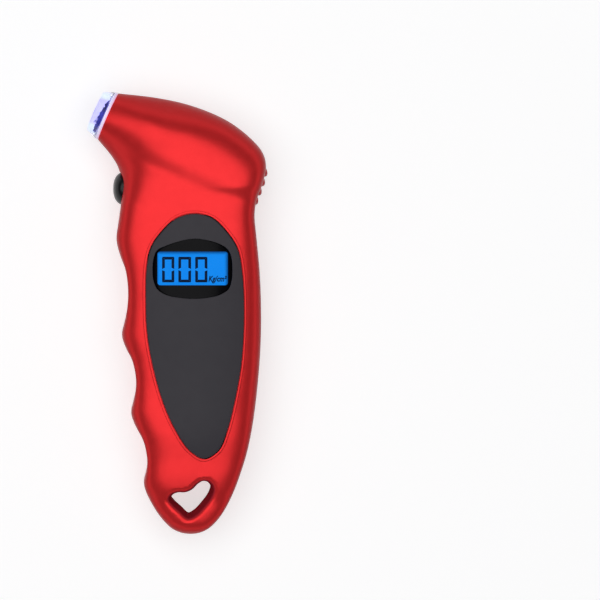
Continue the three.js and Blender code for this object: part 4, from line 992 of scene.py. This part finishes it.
def thumb_ribs():
    """The ribs where the thumb rests, along the edge of the head."""
    edge = line_above(thumb_side, RIB_START * LENGTH)
    along = np.gradient(edge, axis=0)
    along /= np.linalg.norm(along, axis=1)[:, None]
    edge = edge - RIB_SINK * np.column_stack([along[:, 1], -along[:, 0]])
    line = bpy.data.meshes.new("edge")
    line.from_pydata([(x, y, 0) for x, y in edge],
                     [(k, k + 1) for k in range(len(edge) - 1)], [])
    # A pitch a hair too small keeps the last rib on the trimmed line
    return outwards(ribs_tree().mesh("ribs", linked("edge", line), {
        "Pitch": RIB_PITCH * 0.999, "Ribs Length": (RIB_COUNT - 1) * RIB_PITCH,
        "Rib Size": RIB_SIZE, "Finish": RED}))


BUTTON_Y = 0.783 * LENGTH
BUTTON_HALF = (6.4, 5.5)  # along Z and Y
BUTTON_APEX = float(across_at(finger_side, BUTTON_Y)) - 2.8
BUTTON_BACK = BUTTON_APEX + 9.1
SIDE_SQUARE = 3.5  # how square the body's side is there


def side_x(y, z):
    """Where the finger side of the body is, at a height and a depth near the button."""
    square, crown = SIDE_SQUARE, float(across_at(crown_lines[True], NECK_Y))
    middle = float(across_at(finger_side, BUTTON_Y) + across_at(thumb_side, BUTTON_Y)) / 2
    edge = across_at(finger_side, y)
    share = np.clip(np.abs(z) / crown, 0, 0.99)
    return middle + (edge - middle) * (1 - share**square) ** (1 / square)


# (growth, distance inwards from the body's side) round the button
BUTTON_HOLE = ((1.1, -3.0), (0.75, -0.35), (0.62, 0), (0.45, 0.12), (CLEAR, 0.4))
BUTTON_FLANGE_ROOM, BUTTON_FLANGE_DEPTH = 1.2, 1.1


def button_cutter():
    """The button's hole with its rounded rim, and the room for its flange behind it."""
    angle = np.linspace(0, 2 * math.pi, 96, endpoint=False)

    def oval(growth):
        return (BUTTON_Y + (BUTTON_HALF[1] + growth) * np.sin(angle),
                (BUTTON_HALF[0] + growth) * np.cos(angle))

    rings = []
    for growth, drop in BUTTON_HOLE:
        y, z = oval(growth)
        rings.append(np.column_stack([side_x(y, z) + drop, y, z]))
    front = BUTTON_BACK - BUTTON_FLANGE_DEPTH
    for x, growth in ((front, CLEAR), (front, BUTTON_FLANGE_ROOM),
                      (BUTTON_BACK + 2, BUTTON_FLANGE_ROOM)):
        rings.append(np.column_stack([np.full(len(angle), x), *oval(growth)]))
    return ring_solid("button_hole", rings)


TIP_SHOULDER = -(6 - 1.5) + CLEAR


def nozzle_bore():
    """The bore that the nozzle tip's spigot sits in."""
    return on_nozzle(lathe([(6.7, TIP_SHOULDER - 2), (6.7, 2)], 72, "bore"))


DOOR = (0.053 * HALF_GRIP, 0.486 * LENGTH)
DOOR_LENGTH = 43
DOOR_HALF = 13.2
DOOR_BOTTOM = -PAD_DEPTH + 0.2
DOOR_TOP = DOOR_BOTTOM + 1.5
DOOR_LOW, DOOR_HIGH = DOOR[1] - DOOR_LENGTH / 2, DOOR[1] + DOOR_LENGTH / 2
BAY_WALL = 1
COIN_THICK, CONTACT_THICK = 3.2, 0.3
CELL_RADIUS, STACK_HALF, SPRING_ROOM = 5.8, 8.1, 2.2
# Room for the coin cell and, deeper, for the button cells: (half width, low end, high end)
BAY = (12, DOOR_LOW + 1.2, DOOR_HIGH - 1.2)
CELL_Y = BAY[1] + 1.1 + CLEAR + CELL_RADIUS
CELL_ROOM = CELL_RADIUS + CLEAR
DEEP = (STACK_HALF + SPRING_ROOM + CLEAR, CELL_Y - CELL_ROOM, CELL_Y + CELL_ROOM)
COIN_FLOOR = DOOR_TOP + COIN_THICK + 3 * CLEAR + CONTACT_THICK
CELL_FLOOR = DOOR_TOP + 2 * CELL_RADIUS + 2 * CLEAR
SCREWS = [(x * HALF_GRIP, y * LENGTH) for x, y in
          ((-0.729, 0.453), (0.818, 0.453), (0.133, 0.21), (0.578, 0.85))]
SCREW_SEAT = -0.57 * PAD_DEPTH
# (radius, height) pairs of a screw's well: hole, seat, and a chamfer at the pad
SCREW_WELL = ((1.25, 2), (1.25, SCREW_SEAT), (2.35, SCREW_SEAT), (2.35, -PAD_DEPTH + 0.3),
              (2.6, -PAD_DEPTH + 0.02), (3.2, -PAD_DEPTH - 2))
TOWER_RADIUS = 2.9


def bay_block(bay, low, high, wall=0):
    """A block that fills a bay, with its walls."""
    half, start, end = bay
    return box((DOOR[0] - half - wall, start - wall, low),
               (DOOR[0] + half + wall, end + wall, high + wall))


def post(x, y, radius, low, high, steps=40):
    """A round post that stands along Z."""
    obj = lathe([(radius, low), (radius, high)], steps)
    return moved(obj, lambda p: p + (x, y, 0))


LIP_TOP, LIP_START = 1.3, 25
STEP_INSET, STEP_TOP = 0.45, SEAM - 0.03  # fills the gap between the shells, behind the seam
# (growth, rise over the shell) of the bead round the faceplate
BEAD = ((0.1, -1), (0.1, 0.1), (0.34, 0.13), (0.45, 0.18), (0.95, 0.18), (1.08, 0.1), (1.12, -1))
BODY_START = 0.045


def slab_of(rows, inset, low, high):
    """A flat slab across the body's sections, its sides drawn in by an inset."""
    rings = []
    for finger, thumb, *_ in rows:
        across = (thumb - finger) / np.linalg.norm(thumb - finger)
        a, b = finger + across * inset, thumb - across * inset
        if (b - a) @ across > 1:
            rings.append([(*a, low), (*b, low), (*b, high), (*a, high)])
    return ring_solid("slab", np.array(rings))


def rim_band(rows, outer, inner, low, high):
    """An upright band that follows the body's outline on the inside."""
    return combine(slab_of(rows, outer, low, high), slab_of(rows, inner, low - 1, high + 1))


def make_shells():
    """Both shells with every opening apart from the button's hole, the bore and the wells."""
    rows = stations(BODY_START, 230, 120)
    hollow_rows = stations(24, 90, 60, 0.93)
    ribs = thumb_ribs()
    front = half_body(True, "front", rows, SECTION_STEPS)
    combine(front, half_body(True, "front_hollow", hollow_rows, 24, WALL))
    rear = half_body(False, "rear", rows, SECTION_STEPS)
    solid_rear = duplicate(rear)
    combine(rear, half_body(False, "rear_hollow", hollow_rows, 24, WALL))

    far = 2 * LENGTH
    for shell, side in ((front, 1), (rear, -1)):
        low, high = sorted((side * SEAM, side * far))
        half_ribs = duplicate(ribs)
        combine(half_ribs, box((-far, -far, low), (far, far, high)), "INTERSECT")
        combine(shell, half_ribs, "UNION")
    bpy.data.objects.remove(ribs)

    # The plate's pocket, with a fine raised bead round it
    front_height, rear_height = surface_of(front, 1), surface_of(rear, -1)

    def lift(rise):
        return lambda x, y: front_height(x, y) + rise

    def pocket_floor(x, y):
        return plate_top(x, y) - PLATE_THICK - CLEAR

    bead = loft(plate_outline, [(growth, lift(rise)) for growth, rise in BEAD], "bead", poles=False)
    combine(front, bead, "UNION")
    combine(front, loft(plate_outline, [(CLEAR, pocket_floor), (CLEAR, 20)], "pocket"))
    screen = rounded_outline(*DISPLAY, SCREEN[0] + 1.6, SCREEN[1] + 1.6, 0.8)
    combine(front, loft(screen, [(0, 2), (0, 20)], "aperture"))

    # The back: door's rebate and bay, towers for the screws
    rebate = rounded_outline(*DOOR, 2 * (DOOR_HALF + CLEAR), DOOR_LENGTH + 2 * CLEAR, 2.5)
    combine(rear, bay_block(BAY, DOOR_TOP, COIN_FLOOR, BAY_WALL), "UNION")
    combine(rear, bay_block(DEEP, DOOR_TOP, CELL_FLOOR, BAY_WALL), "UNION")
    combine(rear, bay_block(BAY, DOOR_BOTTOM - 3, COIN_FLOOR))
    combine(rear, bay_block(DEEP, DOOR_BOTTOM - 2.9, CELL_FLOOR))
    combine(rear, loft(rebate, [(0.5, -PAD_DEPTH - 2), (0.28, -PAD_DEPTH - 0.01),
                                (0, -PAD_DEPTH + 0.25), (0, DOOR_TOP + 0.2)], "rebate"))
    lip = rim_band(rows, WALL + 0.1, WALL + 0.9, -2, LIP_TOP)
    combine(lip, box((-far, LIP_START, -3), (far, far, 3)), "INTERSECT")
    step = rim_band(rows, STEP_INSET, WALL + 0.9, -0.5, STEP_TOP)
    tab = slab_of(rows, STEP_INSET, -0.5, STEP_TOP)
    combine(tab, box((-far, -far, -1), (far, LIP_START + 2, 1)), "INTERSECT")
    # A tongue in the solid toe, and its groove, keep light out of the seam there
    tongue, groove = slab_of(rows, 2, -0.5, 0.8), slab_of(rows, 1.9, -0.6, 0.9)
    for part, start in ((tongue, 1.5), (groove, 1.4)):
        combine(part, box((-far, start, -1), (far, LIP_START + 2, 1)), "INTERSECT")
    combine(front, groove)
    for part in (lip, step, tab, tongue):
        combine(rear, part, "UNION")
    for x, y in SCREWS:
        tower = post(x, y, TOWER_RADIUS, -PAD_DEPTH - 1, -SEAM)
        combine(tower, solid_rear, "INTERSECT", keep=True)
        combine(rear, tower, "UNION")
    bpy.data.objects.remove(solid_rear)
    for shell in (front, rear):
        combine(shell, heart_cutter(front_height, rear_height))
    return front, rear


front_shell, rear_shell = make_shells()
for shell in (front_shell, rear_shell):
    combine(shell, button_cutter())
    combine(shell, nozzle_bore())
for x, y in SCREWS:
    combine(rear_shell, moved(lathe(SCREW_WELL, 40), lambda p: p + (x, y, 0)))
settle(front_shell, "shell_front", "gauge", RED, ["front_shell"], 40)
settle(rear_shell, "shell_rear", "gauge", RED, ["rear_shell"], 40)
# The heart's inner walls are marked for their painted shade
for shell in (front_shell, rear_shell):
    mark_bore(shell)


# Faceplate and window --------------------------------------------------------------------------

def dished(outline, top, under, edge, rows, name):
    """A plate inside an outline: rounded rim, crowned or dished top, even underside."""
    centre = outline.mean(axis=0)
    rings = []
    for k in range(rows + 1):
        share = 1 - k / rows
        ring = centre + (grown(outline, -edge) - centre) * max(share, 0.002)
        rings.append(np.column_stack([ring, top(ring[:, 0], ring[:, 1])]))
    rings.reverse()
    for k in range(1, 5):
        angle = math.pi / 2 * k / 4
        ring = grown(outline, -edge * (1 - math.sin(angle)))
        z = top(ring[:, 0], ring[:, 1]) - edge * (1 - math.cos(angle))
        rings.append(np.column_stack([ring, z]))
    rings.append(np.column_stack([outline, under(*outline.T)]))
    inner = centre + (outline - centre) * 0.5
    rings.append(np.column_stack([inner, under(*inner.T)]))
    return ring_solid(name, rings)


def plate_under(x, y):
    """Height of the faceplate's underside."""
    return plate_top(x, y) - PLATE_THICK


def window_top(x, y):
    """Height of the window, a little below the faceplate and bowed."""
    return plate_top(x, y) - WINDOW_LIP - WINDOW_BOW * (np.asarray(x) - DISPLAY[0]) ** 2


PLATE_EDGE, WINDOW_EDGE, DISH_ROWS = 0.22, 0.06, 60
# (growth, rise over the plate) of the window's opening, above its straight foot
OPENING_RIM = ((0.03, -0.15), (0.1, -0.04), (0.3, 0.03), (1.2, 1.5))

plate = dished(plate_outline, plate_top, plate_under, PLATE_EDGE, DISH_ROWS, "plate")
combine(plate, loft(window_outline, [(OPENING_RIM[0][0], 5)] + [
    (growth, lambda x, y, r=rise: plate_top(x, y) + r) for growth, rise in OPENING_RIM], "opening"))
settle(plate, "plate_front", "gauge", GREY, ["faceplate"], 40)
window = dished(window_outline, window_top, lambda x, y: plate_under(x, y) - CLEAR + 0.05,
                WINDOW_EDGE, DISH_ROWS, "window")
settle(window, "window", "gauge", WINDOW_BLACK, ["display_lens"], 40)


# Display ------------------------------------------------------------------------------------------

def slab(outline, low, high, edge=0.06):
    """A flat plate with bevelled edges."""
    return loft(outline, [(-edge, low), (0, low + edge), (0, high - edge), (-edge, high)])


glass = slab(rounded_outline(*DISPLAY, *GLASS, 0.5), glass_top - 1.6, glass_top, 0.1)
settle(glass, "screen_glass", "gauge", LCD_BLUE, ["lcd_glass"])

DIGIT_TOP, DIGIT_LOW, STROKE, SEGMENT_GAP = 94.2, 85.62, 0.92, 0.008
DIGIT_CUT, WAIST_CUT, WAIST_POINT = 0.22, 0.6, 0.18
DIGIT_SPANS = ((-9.55, -5.46), (-4.09, 0.17), (1.57, 5.66))
UNIT_SPAN, UNIT_FOOT = (5.95, 12.1), 85.95


def segment(corners):
    """One flat segment of a digit."""
    z = glass_top + 0.02
    outline = np.array(corners, float)
    return loft(outline, [(0, z), (0, z + 0.05)], "segment")


def zero(left, right):
    """The six lit segments of a nought, with the outer corners cut off."""
    top, low, s, g = DIGIT_TOP, DIGIT_LOW, STROKE, SEGMENT_GAP
    mid, cut = (top + low) / 2, DIGIT_CUT
    parts = []
    for y, up in ((top, -1), (low, 1)):
        parts.append(segment([
            (left + cut, y), (right - cut, y), (right - cut / 2 - g, y + up * cut / 2),
            (right - s - g, y + up * s), (left + s + g, y + up * s),
            (left + cut / 2 + g, y + up * cut / 2)]))
        for x, way in ((left, 1), (right, -1)):
            parts.append(segment([
                (x, y + up * cut), (x + way * (cut / 2 - g), y + up * (cut / 2 + g)),
                (x + way * s, y + up * (s + g)), (x + way * s, mid - up * WAIST_CUT),
                (x, mid - up * WAIST_POINT)]))
    return parts


digits = [part for span in DIGIT_SPANS for part in zero(*span)]
unit = bpy.data.curves.new("unit", "FONT")
unit.body = "Kg/cm²"
unit.size, unit.shear, unit.extrude, unit.offset = 2.6, 0.25, 0.025, 0.085
lettering = linked("unit", unit)
unit_object = linked("unit", evaluated_mesh(lettering))
bpy.data.objects.remove(lettering)
unit_wide = UNIT_SPAN[1] - UNIT_SPAN[0]
moved(unit_object, lambda p: p * (unit_wide / np.ptp(p[:, 0]), 1, 1) + (
    UNIT_SPAN[0], UNIT_FOOT, glass_top + 0.045))
digits.append(unit_object)
settle(joined("digits", digits), "screen_digits", "gauge", DIGIT_NAVY)


# Power button ---------------------------------------------------------------------------------

BUTTON_DOME, BUTTON_WALL, BUTTON_FLANGE, BUTTON_PLUNGER = 3.3, 1.4, (0.9, 0.8), 1.9


def power_button():
    """The button: a dome on a skirt with a flange, and a plunger in its middle."""
    half, back = BUTTON_HALF[0], BUTTON_BACK
    foot = BUTTON_APEX + BUTTON_DOME
    roof = foot + 2.2
    out, thick = BUTTON_FLANGE
    profile = [(0, back), (BUTTON_PLUNGER, back), (BUTTON_PLUNGER, roof),
               (half - BUTTON_WALL, roof), (half - BUTTON_WALL, back), (half + out, back),
               (half + out, back - thick), (half, back - thick), (half, foot + 0.5)]
    for k in range(25):
        angle = math.pi / 2 * k / 24
        profile.append((half * math.cos(angle) ** 0.85, foot - BUTTON_DOME * math.sin(angle)))
    obj = lathe(profile, 112, "button")
    squash = BUTTON_HALF[1] / BUTTON_HALF[0]
    return moved(obj, lambda p: np.column_stack([p[:, 2], BUTTON_Y + p[:, 1] * squash, p[:, 0]]))


settle(outwards(power_button()), "button_cap", "button", BUTTON_BLACK, ["power_button"],
       40)


# Nozzle -----------------------------------------------------------------------------------------

# Profiles are (radius, height) pairs; the height counts outwards from the shells' end
TIP_LONG, MOUTH_RADIUS = 4.9, 4.4


def nozzle_ring(name, profile, steps, material, replaces=(), soft=None, angle=35):
    """A ring turned round the nozzle's axis, its corners rounded by a radius in some steps."""
    if soft:
        profile = rounded(profile + profile[:1], *soft)[:-1]
    ring = on_nozzle(lathe(profile, steps, name, closed=True))
    settle(ring, name, "gauge", material, replaces, angle)


nozzle_ring("nozzle_light_tip", [
    (6.4, -4.5), (6.4, 1.02), (nozzle_radius, 1.02), (nozzle_radius - 0.1, 1.3),
    (7.2, TIP_LONG - 0.45), (6.75, TIP_LONG), (5.0, TIP_LONG), (MOUTH_RADIUS, TIP_LONG - 0.6),
    (MOUTH_RADIUS, -3.9), (3.0, -3.9), (3.0, -6), (7.2, -6), (7.2, -4.5),
], 96, CLEAR_TIP, ["nozzle_tip"], (0.22, 3), 30)
nozzle_ring("nozzle_light_core", [
    (4.5, 4.05), (4.5, 1.05), (5.15, 1.05), (5.15, 3.5), (4.95, 4.05),
], 96, LAMP_GLOW, soft=(0.25, 4))
nozzle_ring("nozzle_rim", [
    (6.45, -0.25), (nozzle_radius - 0.9, -0.25), (nozzle_radius - 0.9, 0.2),
    (nozzle_radius + 0.02, 0.28), (nozzle_radius + 0.02, 0.98), (6.45, 0.98),
], 96, TIP_RIM)
nozzle_ring("nozzle_light_sleeve", [
    (4.34, 3.6), (4.34, -1.2), (4.05, -1.2), (4.05, 3.6),
], 72, LIT_BORE)
nozzle_ring("nozzle_washer", [
    (1.7, -3.7), (4.2, -3.7), (4.2, -1.4), (1.7, -1.4),
], 64, SEAL_PALE, ["nozzle_seal"], (0.3, 4))
pin = on_nozzle(lathe(rounded([(0, -9.2), (0.8, -9.2), (0.8, -2.3), (0.45, -1.75), (0, -1.7)],
                              0.15, 3), 40, "pin"))
settle(pin, "nozzle_pin", "gauge", BRASS, ["valve_pin"])


# Screws -----------------------------------------------------------------------------------------

CASE_SCREW = {
    "Head Radius": 2.2, "Head Height": 1.4, "Shank Radius": 0.95, "Length": 13.9,
    "Recess Width": 0.62, "Recess Reach": 2.5, "Recess Depth": 0.9, "Thread Pitch": 1.0,
    "Thread Depth": 0.16,
}
HEAD_TAPER = 0.82  # radius of the head's face as a share of the radius at its seat
THREADED, THREAD_START = 0.72, 0.2  # shares of the length


def screw_tree():
    """Pan-head screws with a cross recess and a thread, one at each point of a mesh."""
    n = ShapeTree("cross_screws", {
        "Places": "Geometry", **{label: "Float" for label in CASE_SCREW}, "Finish": "Material"})
    radius, height, shank_radius, long, width, reach, depth, pitch, ridge_size = (
        n.given(label) for label in CASE_SCREW)

    def lifted(shape, z):
        return n.add("GeometryNodeTransform", Geometry=shape, Translation=n.vector(z=z))

    face = n.math("MULTIPLY", height, -1.0)
    head = lifted(n.add(
        "GeometryNodeMeshCone", Vertices=40, Depth=height, Radius_Top=radius,
        Radius_Bottom=n.math("MULTIPLY", radius, HEAD_TAPER)), face)
    deep = n.math("MULTIPLY", depth, 2.0)
    slots = [lifted(n.add("GeometryNodeMeshCube", Size=n.vector(*size, deep)), face)
             for size in ((width, reach), (reach, width))]
    recessed = n.add("GeometryNodeMeshBoolean", {"operation": "DIFFERENCE", "solver": "MANIFOLD"},
                     Mesh_1=head, Mesh_2=slots)
    shank = lifted(n.add("GeometryNodeMeshCylinder", Vertices=24, Radius=shank_radius, Depth=long),
                   n.math("DIVIDE", long, 2.0))
    threaded = n.math("MULTIPLY", long, THREADED)
    spiral = n.add("GeometryNodeCurveSpiral", Resolution=20, Height=threaded,
                   Rotations=n.math("DIVIDE", threaded, pitch),
                   Start_Radius=shank_radius, End_Radius=shank_radius)
    ridge = n.add("GeometryNodeCurvePrimitiveCircle", Resolution=4, Radius=ridge_size)
    thread = lifted(n.add("GeometryNodeCurveToMesh", Curve=spiral, Profile_Curve=ridge,
                          Fill_Caps=True), n.math("MULTIPLY", long, THREAD_START))
    whole = n.add("GeometryNodeJoinGeometry", Geometry=[recessed, shank, thread])
    n.place_copies(n.given("Places"), whole)
    return n


def screw_row(name, places, seat, nodes, values):
    """Screws whose heads rest on a seat; the floors of their recesses are marked for painted shade.
    """
    points = bpy.data.meshes.new(name)
    points.from_pydata([(x, y, seat) for x, y in places], [], [])
    obj = screw_tree().mesh(name, linked(name, points), dict(values, Finish=SCREW_STEEL))
    # Points on the recess floors carry the painted shade
    floor_z = seat - values["Head Height"] + values["Recess Depth"]
    deep = [abs(v.co.z - floor_z) < 0.01 for v in obj.data.vertices]
    settle(obj, name, "gauge", SCREW_STEEL, nodes, 30)
    obj.data.attributes.new("recess", "FLOAT", "POINT").data.foreach_set("value", deep)


screw_row("case_screws", SCREWS, SCREW_SEAT - CLEAR,
          ["shell_screw_%d" % k for k in (1, 2, 3, 4)], CASE_SCREW)


# CAD pieces that stay, with their finishes ----------------------------------------------------

KEPT = {
    "battery_door": RED, "lcd_frame": DARK_PLASTIC, "valve_block": DARK_PLASTIC,
    "switch_body": DARK_PLASTIC, "backlight_panel": LIGHT_GUIDE,
    "contact_strip_upper": CONTACT_RUBBER, "contact_strip_lower": CONTACT_RUBBER,
    "circuit_board": BOARD_GREEN, "chip_cover": EPOXY, "pressure_sensor": PALE_PLASTIC,
    "switch_stem": PALE_PLASTIC, "sealing_ring": BLACK_RUBBER, "sensor_tube": SILICONE,
    "coin_contact": CONTACT_METAL, "coin_clip": CONTACT_METAL,
    "cell_contact_left": CONTACT_METAL, "cell_contact_right": CONTACT_METAL,
    "coin_cell": CELL_STEEL, "button_cell_1": CELL_STEEL, "button_cell_2": CELL_STEEL,
    "button_cell_3": CELL_STEEL, "nozzle_lamp_upper": LAMP_BLUE, "nozzle_lamp_lower": LAMP_BLUE,
    "board_screw_1": SCREW_STEEL, "board_screw_2": SCREW_STEEL, "board_screw_3": SCREW_STEEL,
    "board_screw_4": SCREW_STEEL,
}
for node, material in KEPT.items():
    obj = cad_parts[node]
    obj.data.materials.clear()
    obj.data.materials.append(material)


# Stage: pale floor, soft light and camera ------------------------------------------------------

FLOOR_WHITE = (0.15, 0.6, 0.6, 1)  # from and to distance in metres, from and to brightness
UNDER_GAUGE = (("X", 0.024), ("Y", 0.074))  # half axes of the floor's glow there, in metres
UNDER_GLOW = 0.45


def pale_floor():
    """Pale floor, seen white by the camera and in reflections, clear from below."""
    n = Nodes("pale_floor")
    path = n.add("LightPath")
    seen = n.math("MAXIMUM", path.outputs["Is Camera Ray"], n.math(
        "MAXIMUM", path.outputs["Is Transmission Ray"], path.outputs["Is Glossy Ray"]))
    spot = n.add("SeparateXYZ", Vector=n.place())
    across, along = (n.math("MULTIPLY", spot.outputs[axis], 1 / reach)
                     for axis, reach in UNDER_GAUGE)
    under = n.range(n.math("ADD", n.math("MULTIPLY", across, across),
                           n.math("MULTIPLY", along, along)), 0.5, 1.1, 1, 0)
    n.set(Base_Color=n.mix(seen, (0.28, 0.28, 0.28), (0.66, 0.66, 0.665)), Roughness=1.0,
          Specular_IOR_Level=0.0, Emission_Color=(1, 1, 1, 1))
    away = n.add("VectorMath", {"operation": "LENGTH"}, **{"0": n.place()}).outputs["Value"]
    white = n.math("MULTIPLY", seen, n.range(away, *FLOOR_WHITE, smooth=True))
    n.set(Emission_Strength=n.math("MAXIMUM", white, n.math("MULTIPLY", under, UNDER_GLOW)))
    both = n.add("MixShader", **{
        "0": n.add("NewGeometry").outputs["Backfacing"], "1": n.shader,
        "2": n.add("BsdfTransparent")})
    n.feed(n.output, "Surface", both)
    return n.material


FLOOR_HALF = 4
floor = mesh_object("floor", [(x * FLOOR_HALF, y * FLOOR_HALF, 0) for x, y in (
    (-1, -1), (1, -1), (1, 1), (-1, 1))], [(0, 1, 2, 3)])
floor.data.materials.append(pale_floor())

world = bpy.data.worlds.new("studio")
bpy.context.scene.world = world
world.use_nodes = True
# The camera, clear plastic and reflections of the low sky see white; all else sees a dim grey
sky = Tree(world.node_tree)
rays = sky.add("LightPath").outputs
heading = sky.add("SeparateXYZ", Vector=sky.add("TexCoord").outputs["Generated"]).outputs["Z"]
mirrored = sky.math("MULTIPLY", rays["Is Glossy Ray"], sky.range(heading, 0.3, 0.1, 0, 1))
through = sky.math("MAXIMUM", mirrored, rays["Is Transmission Ray"])
white = sky.math("MAXIMUM", through, rays["Is Camera Ray"])
sky.feed(sky.tree.nodes["Background"], "Color", sky.mix(white, (0.06, 0.06, 0.062), (1, 1, 1)))

# One square soft lamp from the front
LAMP_PLACE, LAMP_SIZE, LAMP_POWER = (-0.085, 0.07, 1.08), 1.3, 8.9
lamp_data = bpy.data.lights.new("key", "AREA")
lamp_data.energy, lamp_data.size = LAMP_POWER, LAMP_SIZE
lamp = linked("key", lamp_data)
lamp.location = LAMP_PLACE
lamp.rotation_euler = (-Vector(LAMP_PLACE)).to_track_quat("-Z", "Y").to_euler()

CAMERA_HEIGHT, CAMERA_FOOT = 0.8, (-0.004, 0.010)
FRAME_CENTRE, FRAME_WIDTH, SENSOR = (0.0417, 0.0044), 0.2046, 36
seam_height = origin[2] / 1000
camera_data = bpy.data.cameras.new("camera")
camera = linked("camera", camera_data)
camera.location = (*CAMERA_FOOT, CAMERA_HEIGHT)
aim = Vector((*FRAME_CENTRE, seam_height)) - camera.location
back = -aim.normalized()
right = Vector((0, 1, 0)).cross(back).normalized()
camera.rotation_euler = Matrix((right, back.cross(right), back)).transposed().to_euler()
camera_data.sensor_width = SENSOR
camera_data.lens = SENSOR * aim.length / FRAME_WIDTH
camera_data.clip_start = 0.01
bpy.context.scene.camera = camera
bpy.context.scene.view_settings.view_transform = "Standard"
